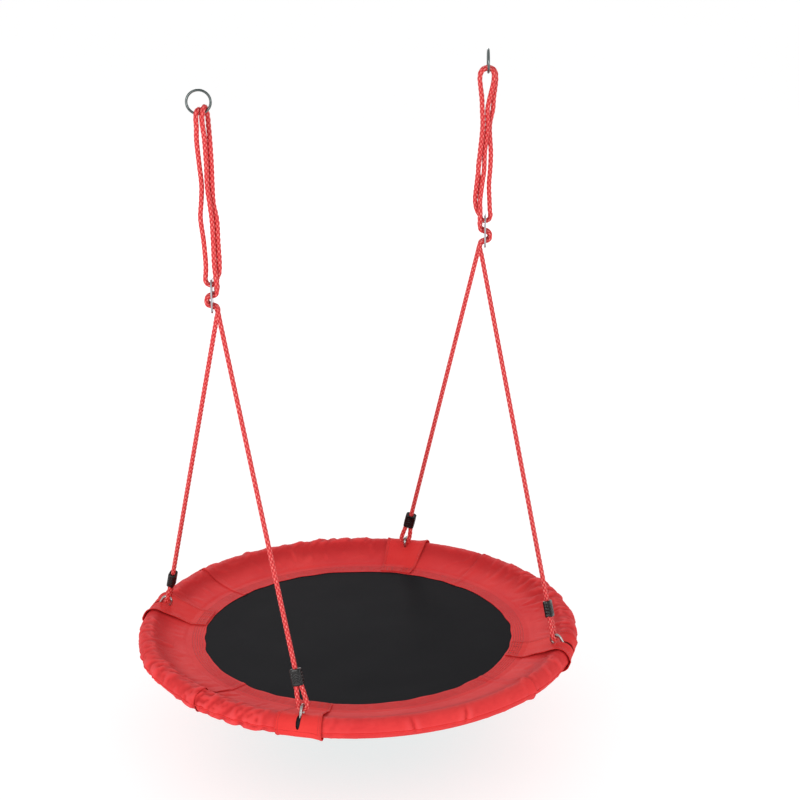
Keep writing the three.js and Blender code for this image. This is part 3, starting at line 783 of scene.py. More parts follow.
def outline_at(lengths):
    """Radius and height of the outline at the given lengths along it, with the way out of it."""
    step = 0.5 * MM
    here, ahead, behind = (
        [np.interp(at, OUTLINE_LENGTHS, OUTLINE[:, k]) for k in (0, 1)]
        for at in (lengths, lengths + step, lengths - step)
    )
    dr, dz = (b - a for a, b in zip(behind, ahead))
    size = np.hypot(dr, dz)
    return *here, -dz / size, dr / size


def length_at(angle):
    """The length along the outline where the pad's round has that angle."""
    return float(np.interp(-angle, -OUTLINE_ANGLES[1:-1], OUTLINE_LENGTHS[1:-1]))


EYE_AZIMUTHS = np.radians([45, 135, 225, 315])
SEAM_AZIMUTHS = np.radians([19, 109, 193.5, 289])
CUFF_HALF = 54 * MM / RING_RADIUS


def around(difference):
    """An angle brought to -pi..pi."""
    return (difference + math.pi) % TAU - math.pi


def nearest_of(azimuth, centres):
    """Signed angle from the nearest of several centres."""
    all_of = around(azimuth[:, None] - centres[None])
    return all_of[np.arange(len(azimuth)), np.abs(all_of).argmin(1)]


def waves(azimuth, seed, counts):
    """A smooth closed wave of several counts round the disc, with unit height."""
    random = np.random.default_rng(seed)
    total = np.zeros_like(azimuth)
    for n in counts:
        total = total + random.uniform(0.5, 1) * np.sin(n * azimuth + random.uniform(0, TAU))
    return total / np.abs(total).max()


SLANTED_WAVES = 14


def slanted(azimuth, lengths, seed, low, high, slant):
    """A random field round the pad from waves of low to high counts, leaning either way."""
    random = np.random.default_rng(seed)
    total = np.zeros((len(azimuth), len(lengths)))
    for _ in range(SLANTED_WAVES):
        count = random.integers(low, high + 1)
        lean, phase = random.uniform(-slant, slant), random.uniform(0, TAU)
        total += np.sin(count * azimuth[:, None] + lean * lengths[None] + phase)
    return total / math.sqrt(SLANTED_WAVES / 2)


def slackness(azimuth):
    """How loosely the cover lies, 0 to 1: tight along the front, slack at the sides and back."""
    front = bump(around(azimuth - math.radians(-100)), math.radians(42))
    left = bump(around(azimuth - math.radians(-165)), math.radians(40))
    return np.clip(0.82 + 0.18 * waves(azimuth, 3, (2, 3, 5)) - 0.5 * front + 0.3 * left, 0, 1)


def fold_heights(azimuth, lengths):
    """Puffs with sharp valleys between them and a few sharp ridges across them, in metres."""
    bent = azimuth + 0.012 * np.sin(9 * azimuth + 1) + 0.006 * np.sin(31 * azimuth)
    puffs = np.clip(np.abs(slanted(bent, lengths, 41, 16, 38, 40)), 0, 1.6) ** 0.75
    ridges = 1 - np.clip(np.abs(slanted(bent, lengths, 43, 16, 36, 55)) / 0.55, 0, 1)
    swell = slanted(azimuth, lengths, 47, 9, 21, 12)
    return (4.8 * puffs + 3.2 * ridges**1.5 + 1.1 * swell) * MM * slackness(azimuth)[:, None]


CLOTH_FRAMES = 18
CLOTH_SETTINGS = {
    "quality": 7,
    "mass": 0.12,
    "air_damping": 2,
    "tension_stiffness": 30,
    "compression_stiffness": 30,
    "shear_stiffness": 8,
    "bending_stiffness": 14,
    "tension_damping": 8,
    "compression_damping": 8,
    "shear_damping": 8,
    "bending_damping": 1,
    "vertex_group_mass": "held",
    "vertex_group_shrink": "slack",
    "shrink_min": -0.001,
    "shrink_max": -0.008,
}


def foam_collider():
    """A plain ring a little thinner than the foam, for the cloth to settle on."""
    columns, sides, core = 192, 32, 22.8 * MM
    turn = np.linspace(0, TAU, sides + 1)[:-1]
    section = [RING_RADIUS + core * np.cos(turn), 0 * turn, core * np.sin(turn)]
    section = np.broadcast_to(np.stack(section, axis=-1), (columns, sides, 3))
    points = turn_out(section, np.linspace(0, TAU, columns + 1)[:-1]).reshape(-1, 3)
    ids = np.arange(columns * sides).reshape(columns, sides)
    made = new_mesh("core", points, grid_faces(closed(ids, around=True, along=True)), FOAM)
    made.modifiers.new("Collision", "COLLISION")
    made.collision.thickness_outer = 1.0 * MM
    made.collision.cloth_friction = 8
    return made


def simulate_cover():
    """Folded cloth, a little longer round the disc than the pad, dropped onto the foam. Gives
    each point's place in its column's own axes: outward, along the disc, and up."""
    azimuth = np.arange(CLOTH_COLUMNS) * TAU / CLOTH_COLUMNS
    lengths = np.linspace(0, PAD_LENGTH, CLOTH_ROWS)
    r, z, out_r, out_z = outline_at(lengths)
    free = np.sin(np.pi * lengths / PAD_LENGTH) ** 0.6
    free = free * (1 - 0.6 * smoothstep(lengths, 0.5 * PAD_LENGTH, 0.72 * PAD_LENGTH))
    folds = np.clip(fold_heights(azimuth, lengths) - 2.0 * MM, -0.4 * MM, 7.5 * MM)
    folds = (folds + 0.4 * MM) * free[None]
    flat = 0 * folds
    rest = np.stack([r + flat, flat, z + flat], axis=-1)
    start = rest + np.stack([out_r * folds, 0 * folds, out_z * folds], axis=-1)
    ids = np.arange(CLOTH_COLUMNS * CLOTH_ROWS).reshape(CLOTH_COLUMNS, CLOTH_ROWS)
    points = turn_out(start, azimuth).reshape(-1, 3)
    cloth = new_mesh("cloth", points, grid_faces(closed(ids, along=True)), COVER_CLOTH)
    held = cloth.vertex_groups.new(name="held")
    held.add(ids[:, (0, 1, CLOTH_ROWS - 2, CLOTH_ROWS - 1)].ravel().tolist(), 1.0, "REPLACE")
    slack = cloth.vertex_groups.new(name="slack")
    for i, ease in enumerate(slackness(azimuth)):
        slack.add(ids[i].tolist(), float(ease), "REPLACE")
    collider = foam_collider()
    modifier = cloth.modifiers.new("Cloth", "CLOTH")
    for key, value in CLOTH_SETTINGS.items():
        setattr(modifier.settings, key, value)
    touching = modifier.collision_settings
    touching.use_self_collision = False
    touching.distance_min = 1.0 * MM
    touching.collision_quality = 3
    scene = bpy.context.scene
    for number in range(1, CLOTH_FRAMES + 1):
        scene.frame_set(number)
    evaluated = cloth.evaluated_get(bpy.context.evaluated_depsgraph_get())
    settled = np.array([v.co for v in evaluated.data.vertices])
    settled = settled.reshape(CLOTH_COLUMNS, CLOTH_ROWS, 3)
    scene.frame_set(1)
    for made in (cloth, collider):
        bpy.data.objects.remove(made)
    return rest, turn_out(settled, -azimuth)


def turn_out(points, azimuth):
    """Points given in each column's own axes, turned to their place round the disc."""
    c, s = np.cos(azimuth)[:, None], np.sin(azimuth)[:, None]
    x, y, z = points[..., 0], points[..., 1], points[..., 2]
    return np.stack([c * x - s * y, s * x + c * y, z], axis=-1)


# Degrees round the disc, depth, and which way the foot of the dart leans.
PINCHES = ((-107, 1.0, 1), (-92, 1.15, -1), (-22, 0.8, 1), (66, 0.7, -1))


def pinched(azimuth, lengths):
    """Sharp darts down the outer face where the cover is drawn together."""
    total = np.zeros((len(azimuth), len(lengths)))
    top, foot = length_at(math.radians(75)), length_at(math.radians(-25))
    t = (lengths - top) / (foot - top)
    for centre, depth, way in PINCHES:
        lean = way * 9 * MM * t
        across = around(azimuth - math.radians(centre))[:, None] * RING_RADIUS - lean[None]
        shape = np.sin(np.pi * np.clip(t, 0, 1)) ** 0.8 * (0.4 + 0.6 * t)
        fade = np.where((t > 0) & (t < 1), shape, 0)
        valley = -5.0 * np.exp(-((across / (3.6 * MM)) ** 2))
        crest = 4.2 * np.exp(-(((across - 10 * MM) / (8 * MM)) ** 2))
        crest += 2.6 * np.exp(-(((across + 12 * MM) / (10 * MM)) ** 2))
        total += depth * (valley + crest) * fade[None] * MM
    return total


def cover_rows():
    """Lengths along the outline for the finished rows, closer together at the long seam."""
    seam = length_at(math.radians(SEAM_AT))
    near = seam + np.array([-4.2, -2.6, -1.5, -0.7, 0, 0.7, 1.5, 2.6, 4.2]) * MM
    above = np.linspace(0, near[0], 34)[:-1]
    below = np.linspace(near[-1], PAD_LENGTH, 26)[1:]
    return np.concatenate([above, near, below]), seam


def sewn_band(edge, share, height, ripple, side):
    """The flat band inside the pad, where cover and mat are sewn together in rows."""
    azimuth = np.arange(COLUMNS) * TAU / COLUMNS
    r = edge[:, None] + (COVER["sewn"] - edge[:, None]) * share[None]
    pleat = waves(azimuth, ripple, (90, 113, 127, 151))[:, None]
    z = height + side * pleat * 0.35 * MM * np.sin(np.pi * share)[None]
    row = (r - STITCH_ROWS[0]) / (STITCH_ROWS[1] - STITCH_ROWS[0])
    sewn = (row > -0.5) & (row < len(STITCH_ROWS) - 0.5)
    dip = np.where(sewn, np.exp(-((np.abs(row - np.round(row)) / 0.22) ** 2)), 0)
    return np.stack([r, 0 * r, z - side * dip * 0.6 * MM], axis=-1)


def fold_light_and_shade(pad, rows):
    """How far each place stands out of its neighbourhood, from -1 in a valley to 1 on a crest. It sets
    the painted highlight on crests and the painted shade in valleys.
    """
    relief = np.hypot(pad[..., 0] - RING_RADIUS, pad[..., 2])
    mean = relief
    for _ in range(32):
        mean = (np.roll(mean, 1, 0) + 2 * mean + np.roll(mean, -1, 0)) / 4
        inner = (mean[:, :-2] + 2 * mean[:, 1:-1] + mean[:, 2:]) / 4
        mean = np.concatenate([mean[:, :1], inner, mean[:, -1:]], axis=1)
    return np.tanh((relief - mean) / (2.0 * MM)) * np.sin(np.pi * rows / PAD_LENGTH)[None] ** 0.5


def small_lift(azimuth, rows, seam):
    """Pinches, fine wrinkles and the long seam, as heights over the settled cloth."""
    lift = pinched(azimuth, rows)
    fine = 1 - np.clip(np.abs(slanted(azimuth, rows, 53, 34, 76, 50)) / 0.4, 0, 1)
    free = np.sin(np.pi * rows / PAD_LENGTH) ** 0.7
    free = free * (1 - smoothstep(rows, seam - 30 * MM, seam - 8 * MM))
    lift += 0.55 * MM * fine * free[None] * slackness(azimuth)[:, None]
    to_seam = rows - seam
    lift += (1.2 * MM * np.exp(-(((to_seam + 2.4 * MM) / (2.2 * MM)) ** 2)))[None]
    below = smoothstep(to_seam, -1 * MM, 1 * MM) * (1 - smoothstep(to_seam, 3 * MM, 14 * MM))
    return lift - (1.0 * MM * below)[None]


def cover_surface():
    """The cover's outer face: for each column and row its place in the column's own axes, with the
    lengths across the cloth and the share of painted highlight and shade on its folds."""
    rest, settled = simulate_cover()
    azimuth = np.arange(COLUMNS) * TAU / COLUMNS
    rows, seam = cover_rows()
    at = rows / PAD_LENGTH * (CLOTH_ROWS - 1)
    across = cubic(np.swapaxes(settled - rest, 0, 1), at)
    offsets = cubic(np.swapaxes(across, 0, 1), np.arange(COLUMNS) / 2, wrap=True)
    r, z, out_r, out_z = outline_at(rows)
    under_cuff = bump(nearest_of(azimuth, EYE_AZIMUTHS), 1.9 * CUFF_HALF)
    offsets = offsets * (1 - 0.92 * np.clip(1.6 * under_cuff, 0, 1))[:, None, None]
    pad = np.stack([r, 0 * r, z], axis=-1)[None] + offsets
    lift = small_lift(azimuth, rows, seam)
    pad = pad + np.stack([out_r * lift, 0 * lift, out_z * lift], axis=-1)
    pad[..., 0] = np.minimum(pad[..., 0], RING_RADIUS + PAD_RADIUS + 5 * MM)
    reach = np.hypot(pad[..., 0] - RING_RADIUS, pad[..., 2])
    grow = np.maximum(FOAM_CLEAR / np.maximum(reach, FOAM_CLEAR / 2), 1)
    pad[..., 0] = RING_RADIUS + (pad[..., 0] - RING_RADIUS) * grow
    pad[..., 2] = pad[..., 2] * grow
    edge = COVER["edge"] + 3.2 * MM * waves(azimuth, 21, (7, 9, 11, 16, 19, 23, 31, 37))
    share = np.linspace(0, 1, 31)[:-1]
    top = sewn_band(edge, share, COVER["top"], 31, 1)
    bottom = sewn_band(edge, share, COVER["bottom"], 32, -1)[:, ::-1]
    surface = np.concatenate([top, pad, bottom], axis=1)
    flat = np.zeros((COLUMNS, len(share)))
    # Painted fold highlight and shade on the pad; the sewn bands get none.
    folds = np.concatenate([flat, fold_light_and_shade(pad, rows), flat], axis=1)
    band = share * (COVER["sewn"] - COVER["edge"])
    gap = 1.5 * MM
    lengths = np.concatenate([band - band[-1] - gap, rows, PAD_LENGTH + gap + band])
    return surface, lengths, folds


FOAM_CLEAR = 23.6 * MM
STITCH_ROWS = np.array([393, 399, 405, 411, 417]) * MM
SURFACE, LENGTHS, FOLD_LIGHT_AND_SHADE = cover_surface()
SLIT = {"from": math.radians(100), "to": math.radians(4), "width": 11 * MM}


def sample(azimuth, surface=None):
    """The cover's columns at any azimuths, in their own axes."""
    source = SURFACE if surface is None else surface
    return cubic(source, (azimuth % TAU) / TAU * COLUMNS, wrap=True)


def slit_of(lengths):
    """The gap's width at each length, and whether that length is inside the cut."""
    start, end = length_at(SLIT["from"]), length_at(SLIT["to"])
    t = np.clip((lengths - start) / (end - start), 0, 1)
    return SLIT["width"] * np.sin(np.pi * t) ** 0.3, (lengths > start) & (lengths < end)


def sheet_with_slit(name, columns, lengths, points_of, eye, thickness, finish, spread=1.0,
                    folds=None):
    """A strip of cloth round the pad with a cut at the eye that gapes a little. columns are
    angles round the disc, and points_of(columns) gives the strip's places in its own axes."""
    order = np.sort(np.append(columns[np.abs(around(columns - eye)) > 0.25 * MM], eye))
    cut = int(np.abs(around(order - eye)).argmin())
    from_eye = around(order - eye) * RING_RADIUS
    width, opened = slit_of(lengths)
    half = width[None] / 2 * spread
    push = np.sign(from_eye)[:, None] * half * np.exp(-np.abs(from_eye) / (14 * MM))[:, None]
    local = points_of(order)
    shifted = local.copy()
    shifted[..., 1] += push
    points = turn_out(shifted, order)
    lips = []
    for way in (-1, 1):
        lip = local[cut : cut + 1].copy()
        lip[..., 1] += way * half
        lips.append(turn_out(lip, order[cut : cut + 1])[0])
    ids = np.arange(points.shape[0] * points.shape[1]).reshape(points.shape[:2])
    flat = points.reshape(-1, 3)
    left, right = ids[: cut + 1].copy(), ids[cut:].copy()
    flat[ids[cut][opened]] = lips[0][opened]
    extra = np.arange(opened.sum()) + len(flat)
    right[0][opened] = extra
    flat = np.concatenate([flat, lips[1][opened]])
    flat[:, 2] += DISC_Z
    faces = np.concatenate([grid_faces(left), grid_faces(right)])[:, ::-1]
    body, all_faces = thicken(flat, faces, thickness)
    u = np.broadcast_to((order * RING_RADIUS)[:, None], points.shape[:2]).ravel()
    v = np.broadcast_to(lengths[None], points.shape[:2]).ravel()
    u = np.concatenate([u, np.full(len(extra), order[cut] * RING_RADIUS)])
    v = np.concatenate([v, lengths[opened]])
    uv = np.stack([np.tile(u, 2), np.tile(v, 2)], axis=1)
    # Share of painted highlight and painted shade on the folds, for the cloth's shader.
    tone = np.zeros(points.shape[:2]) if folds is None else sample(order, folds)
    tone = np.concatenate([tone.ravel(), tone[cut][opened]])
    floats = {"fold_light_share": np.tile(tone, 2)}
    return new_mesh(name, body, all_faces, finish, uv[all_faces.ravel()], floats)


# ------------------------------------------------------------------ cover panels
OVERLAP = 14 * MM / RING_RADIUS
# How far the loose end stands up at each seam, in the order of SEAM_AZIMUTHS.
SEAM_LOOSENESS = (0.35, 0.35, 1.0, 1.5)


def panel_lift(azimuth, start, end, lengths, loose):
    """The end of a panel lies over the start of the next one, and stands up a little."""
    to_end = (end - azimuth) * RING_RADIUS
    over = smoothstep(-to_end, -22 * MM, -13 * MM) * (COVER["cloth"] + 0.5 * MM)
    shoulder = np.sin(np.pi * np.clip(lengths / PAD_LENGTH, 0, 1)) ** 0.7
    flick = smoothstep(-to_end, -9 * MM, 0) * 1.6 * MM * loose
    pinch = -1.6 * MM * np.exp(-(((azimuth - start) * RING_RADIUS - 20 * MM) / (7 * MM)) ** 2)
    return over[:, None] + (flick + pinch)[:, None] * shoulder[None]


def outward(local):
    """Unit normals of columns given in their own axes, in the plane of the section."""
    along = np.gradient(local, axis=1)
    size = np.maximum(np.hypot(along[..., 0], along[..., 2]), 1e-9)
    return np.stack([-along[..., 2] / size, 0 * size, along[..., 0] / size], axis=-1)


def make_cover():
    """Four panels. Each one's slit lets out the eye, and its end lies over the next panel."""
    step = TAU / COLUMNS
    starts = np.append(SEAM_AZIMUTHS, SEAM_AZIMUTHS[0] + TAU)
    loose_ends = np.roll(SEAM_LOOSENESS, -1)
    panels = zip(CORNERS, EYE_AZIMUTHS, starts, starts[1:] + OVERLAP, loose_ends)
    for corner, eye, start, end, loose in panels:
        columns = np.arange(math.ceil(start / step), math.floor(end / step) + 1) * step
        inside = (columns > start + step / 4) & (columns < end - step / 4)
        columns = np.concatenate([[start], columns[inside], [end]])

        def points_of(azimuths, start=start, end=end, loose=loose):
            local = sample(azimuths)
            lift = panel_lift(azimuths, start, end, LENGTHS, loose)
            return local + outward(local) * lift[..., None]

        made = sheet_with_slit(f"cover_{corner}", columns, LENGTHS, points_of, eye, COVER["cloth"],
                               COVER_CLOTH, spread=1.25, folds=FOLD_LIGHT_AND_SHADE)
        stands_for(made, "seat", "cover_fabric", f"cover_panel_{corner}")


# ------------------------------------------------------------------ cuffs round the eyes
CUFF = {"cloth": 1.5 * MM, "gap": 1.3 * MM, "hem": 7 * MM}
LOOSE_EDGE = {"back_right": -1, "back_left": 1, "front_left": 1, "front_right": -1}
HEM_STITCHES = (-0.955, -0.87, 0.87, 0.955)


def cuff_lift(x, lengths, way):
    """Height of a cuff over the cover. x runs from -1 to 1 across it, and way is the loose edge."""
    inset = (1 - np.abs(x)) * CUFF_HALF * RING_RADIUS
    hem = 0.5 * MM * (1 - smoothstep(inset, CUFF["hem"] - 1.5 * MM, CUFF["hem"]))
    groove = -0.5 * MM * np.exp(-(((inset - CUFF["hem"] - 0.3 * MM) / (0.9 * MM)) ** 2))
    on_pad = smoothstep(lengths, 4 * MM, 45 * MM)
    raised = smoothstep(x * way, 0.35, 1.0) ** 1.5 * 4.2 * MM
    other = smoothstep(-x * way, 0.6, 1.0) * 0.8 * MM
    sag = 0.25 * MM * np.sin(9 * x)[:, None] * np.sin(lengths / (17 * MM))[None]
    lift = CUFF["gap"] + CUFF["cloth"] + (hem + groove)[:, None] + sag
    return lift + (raised + other)[:, None] * on_pad[None]


def hem_stitches(points_of, azimuth):
    """Places, directions and normals of the stitches along one line across a cuff."""
    local = points_of(np.array([azimuth]))
    local = np.concatenate([local, outward(local)])
    seam, normal = turn_out(local, np.array([azimuth, azimuth]))
    run = np.concatenate([[0], np.cumsum(np.linalg.norm(np.diff(seam, axis=0), axis=1))])
    spots = np.arange(4 * MM, run[-1] - 4 * MM, STITCH["pitch"])
    wanted = ((spots, seam), (spots + MM, seam), (spots - MM, seam), (spots, normal))
    spot, ahead, behind, way_out = (
        np.stack([np.interp(at, run, values[:, k]) for k in range(3)], axis=1)
        for at, values in wanted
    )
    direction = ahead - behind
    direction /= np.linalg.norm(direction, axis=1)[:, None]
    return spot + [0, 0, DISC_Z] + way_out * 0.15 * MM, direction, way_out


def make_cuffs():
    hems = []
    across = np.concatenate([
        np.linspace(-1, -0.86, 7)[:-1], np.linspace(-0.86, 0.86, 44), np.linspace(0.86, 1, 7)[1:],
    ])
    first = int(np.searchsorted(LENGTHS, LENGTHS[0] + 2.5 * MM))
    last = int(np.searchsorted(LENGTHS, PAD_LENGTH - 38 * MM))
    lengths = LENGTHS[first:last]
    for corner, eye in zip(CORNERS, EYE_AZIMUTHS):

        def points_of(azimuths, eye=eye, way=LOOSE_EDGE[corner]):
            local = sample(azimuths)[:, first:last]
            lift = cuff_lift((azimuths - eye) / CUFF_HALF, lengths, way)
            return local + outward(local) * lift[..., None]

        made = sheet_with_slit(f"eye_cuff_{corner}", eye + across * CUFF_HALF, lengths, points_of,
                               eye, CUFF["cloth"], CUFF_CLOTH)
        hems += [hem_stitches(points_of, eye + x * CUFF_HALF) for x in HEM_STITCHES]
        stands_for(made, "seat", "cuff_fabric", f"cuff_{corner}")
    made = stitch_mesh("stitching_hems", *(np.concatenate(values) for values in zip(*hems)))


# ------------------------------------------------------------------ mat
def make_mat():
    """A disc of cloth that dips a little inside its edge and has faint, slow ripples."""
    rings, spokes = 70, 256
    edge = COVER["sewn"] + 1 * MM
    dip = 0.9 * MM
    radius = np.linspace(0, 1, rings + 1)[1:] ** 0.8 * edge
    r, a = np.meshgrid(radius, np.arange(spokes) * TAU / spokes, indexing="ij")
    inside = 1 - smoothstep(r, 0.30, 0.38)
    ripple = 0.35 * MM * (np.sin(5 * a + 23 * r) + np.sin(-3 * a + 31 * r + 1))
    z = DISC_Z - dip * inside + ripple * inside * smoothstep(r, 0.04, 0.2)
    flat = np.stack([r * np.cos(a), r * np.sin(a), z], axis=-1).reshape(-1, 3)
    top, bottom = np.array([0, 0, MAT_TOP]), np.array([0, 0, MAT_BOTTOM])
    centre = np.array([0, 0, DISC_Z - dip])
    points = np.concatenate([flat + top, flat + bottom, [centre + top, centre + bottom]])
    count = rings * spokes
    ids = np.arange(count).reshape(rings, spokes)
    quads = grid_faces(closed(ids, around=True))
    edge_ids = np.stack([ids[-1], ids[-1] + count])
    walls = grid_faces(closed(edge_ids, around=True))
    faces = [*quads.tolist(), *(quads[:, ::-1] + count).tolist(), *walls.tolist()]
    faces += fan(2 * count, ids[0]) + fan(2 * count + 1, ids[0, ::-1] + count)
    uv = [(points[v][0], points[v][1]) for f in faces for v in f]
    made = new_mesh("seat_mat", points, faces, MAT_CLOTH, uv)
    stands_for(made, "seat", "mat_fabric", "mat")


# ------------------------------------------------------------------ stitching
STITCH = {"long": 3.4 * MM, "pitch": 4.5 * MM, "thick": 0.45 * MM}


def stitch_mesh(name, centres, directions, normals):
    """Short thread stitches, each a low rounded bead lying on the cloth."""
    half, r = STITCH["long"] / 2, STITCH["thick"]
    sides = np.cross(normals, directions)
    along = np.array([-1.0, -0.82, 0.0, 0.82, 1.0]) * half
    size = np.array([0.25, 0.85, 1.0, 0.85, 0.25]) * r
    angle = np.arange(4) * TAU / 4 + TAU / 8
    ring = sides[:, None, None] * (np.cos(angle) * 1.2)[None, None, :, None]
    ring = ring + normals[:, None, None] * np.sin(angle)[None, None, :, None]
    arch = np.array([-0.5, 0.0, 0.3, 0.0, -0.5]) * r
    points = centres[:, None, None] + directions[:, None, None] * along[None, :, None, None]
    points = points + normals[:, None, None] * arch[None, :, None, None]
    points = points + ring * size[None, :, None, None]
    one = np.arange(20).reshape(5, 4)
    faces = grid_faces(closed(one, around=True))[:, ::-1].tolist()
    faces += [one[0].tolist(), one[-1, ::-1].tolist()]
    faces = np.array(faces)
    every = (faces[None] + (np.arange(len(centres)) * 20)[:, None, None]).reshape(-1, 4)
    made = new_mesh(name, points.reshape(-1, 3), every, THREAD)
    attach(made, "seat")
    return made


def on_band(radius, azimuth, side):
    """A place on the sewn band, top or bottom, and whether a cuff lies over it."""
    covered = np.abs(nearest_of(azimuth, EYE_AZIMUTHS)) < CUFF_HALF * 0.995
    top = COVER["top"] - 0.15 * MM + np.where(covered, CUFF["gap"] + CUFF["cloth"] + 0.3 * MM, 0)
    z = top if side > 0 else np.full_like(azimuth, COVER["bottom"] + 0.15 * MM)
    seam = nearest_of(azimuth, SEAM_AZIMUTHS)
    over = (seam > -8 * MM / RING_RADIUS) & (seam < OVERLAP)
    z = z + side * np.where(over & ~covered, COVER["cloth"] + 0.5 * MM, 0)
    return np.stack([radius * np.cos(azimuth), radius * np.sin(azimuth), DISC_Z + z], axis=1)


def make_stitching():
    """Rows of stitches round the sewn band, and short rows across it at the cuffs."""
    for label, side in (("top", 1), ("bottom", -1)):
        centres, directions = [], []
        for row, radius in enumerate(STITCH_ROWS):
            count = round(TAU * radius / STITCH["pitch"])
            azimuth = (np.arange(count) + 0.5 * (row % 2)) * TAU / count
            centres.append(on_band(radius, azimuth, side))
            directions.append(np.stack([-np.sin(azimuth), np.cos(azimuth), 0 * azimuth], axis=1))
        centres, directions = np.concatenate(centres), np.concatenate(directions)
        normals = np.broadcast_to([0.0, 0.0, float(side)], centres.shape)
        made = stitch_mesh(f"stitching_{label}", centres, directions, normals)
    centres, directions = [], []
    for eye in EYE_AZIMUTHS:
        for x in (-0.6, -0.3, 0.3, 0.6):
            azimuth = eye + x * CUFF_HALF
            radius = np.arange(393 * MM, 420 * MM, STITCH["pitch"])
            spot = np.full_like(radius, azimuth)
            places = on_band(1.0, spot, 1)
            places[:, :2] *= radius[:, None]
            centres.append(places)
            directions.append(np.stack([np.cos(spot), np.sin(spot), 0 * spot], axis=1))
    centres, directions = np.concatenate(centres), np.concatenate(directions)
    normals = np.broadcast_to([0.0, 0.0, 1.0], centres.shape)
    made = stitch_mesh("stitching_cuffs", centres, directions, normals)


def make_welt():
    """The cord-like welt of the long seam round the outside of the cover."""
    azimuth = np.arange(COLUMNS) * TAU / COLUMNS
    row = int(np.abs(LENGTHS - length_at(math.radians(SEAM_AT))).argmin())
    local = SURFACE[:, row]
    lift = outward(SURFACE)[:, row]
    path = turn_out((local + lift * 1.0 * MM)[:, None], azimuth)[:, 0]
    path[:, 2] += DISC_Z
    made = swept(path, 1.5 * MM, 8, "cover_welt", CUFF_CLOTH, loop=True)
    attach(made, "seat")


# ------------------------------------------------------------------ foam, tube and screws
TUBE = {"outer": 12.5 * MM, "inner": 10.5 * MM, "spigot": 10.1 * MM, "bore": 8.1 * MM, "reach": 48 * MM}


def arc_body(name, stations, inner, finish, start):
    """A hollow round bar along the ring: stations are [angle, outer radius]."""
    sides = 40
    angle = np.arange(sides) * TAU / sides
    azimuth = np.array([start + a for a, _ in stations])
    outer = np.array([r for _, r in stations])
    shape = (len(stations), sides)

    def skin(radius):
        radius = np.broadcast_to(np.asarray(radius)[:, None], shape)
        local = [RING_RADIUS + radius * np.cos(angle), 0 * radius, radius * np.sin(angle)]
        points = turn_out(np.stack(local, axis=-1), azimuth)
        points[..., 2] += DISC_Z
        return points.reshape(-1, 3)

    count = shape[0] * sides
    ids = np.arange(count).reshape(shape)
    faces = grid_faces(closed(ids, around=True))[:, ::-1].tolist()
    faces += (grid_faces(closed(ids, around=True)) + count).tolist()
    for k in range(sides):
        n = (k + 1) % sides
        a, b = int(ids[0, k]), int(ids[0, n])
        c, d = int(ids[-1, k]), int(ids[-1, n])
        faces += [[a, b, b + count, a + count][::-1], [c, c + count, d + count, d][::-1]]
    points = np.concatenate([skin(outer), skin(np.full(shape[0], inner))])
    wrap = np.tile(np.broadcast_to(angle * 0.02, shape).ravel(), 2)
    length = np.tile(np.broadcast_to((azimuth * RING_RADIUS)[:, None], shape).ravel(), 2)
    uv = np.stack([wrap, length], axis=1)
    return new_mesh(name, points, faces, finish, uv[np.concatenate([np.array(f) for f in faces])])


def make_disc_frame():
    quarter = math.pi / 2
    gap = 0.02 * math.pi / 180
    for corner, index in zip(CORNERS, range(4)):
        start = index * quarter
        body = np.linspace(gap, quarter - gap, 73)
        neck = quarter - gap + np.array([0.2, 2.0]) * MM / RING_RADIUS
        reach = quarter + TUBE["reach"] / RING_RADIUS * np.array([0.3, 0.6, 0.96, 1.0])
        stations = [(a, TUBE["outer"]) for a in body]
        stations[0] = (body[0], TUBE["outer"] - 0.4 * MM)
        stations.insert(1, (body[0] + 0.5 * MM / RING_RADIUS, TUBE["outer"]))
        stations += [(a, TUBE["spigot"]) for a in neck]
        stations += [(a, TUBE["spigot"] - (0.8 * MM if k == 3 else 0)) for k, a in enumerate(reach)]
        tube = arc_body(f"tube_{corner}", stations, TUBE["bore"], TUBE_STEEL, start)
        stands_for(tube, "seat", "frame_steel", f"frame_arc_{corner}")
        ends = np.linspace(gap, quarter - gap, 97)
        squeeze = 22.0 * MM + 0.25 * MM * np.sin(17 * ends)
        squeeze[[0, -1]] -= 1.2 * MM
        foam = arc_body(f"foam_{corner}", list(zip(ends, squeeze)), 14.2 * MM, FOAM, start)
        stands_for(foam, "seat", "foam", f"foam_sleeve_{corner}")
        low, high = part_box(f"joint_screw_{corner}")
        place = ((low.x + high.x) / 2, (low.y + high.y) / 2, low.z)
        profile = [(0, 1.0), (0.9, 1.0), (1.3, 0.2), (3.6, 0.0), (4.3, 0.7), (4.5, 1.6), (4.5, 2.9),
                   (4.2, 3.1), (2.5, 3.1)]
        for k in range(9):
            profile += [(2.1, 3.5 + k), (2.45, 4.0 + k)]
        profile += [(1.6, 12.2), (0, 12.6)]
        profile = [(r * MM, z * MM) for r, z in profile]
        screw = lathe(f"screw_{corner}", profile, SCREW_STEEL, place)
        stands_for(screw, "seat", "screw_steel", f"joint_screw_{corner}")


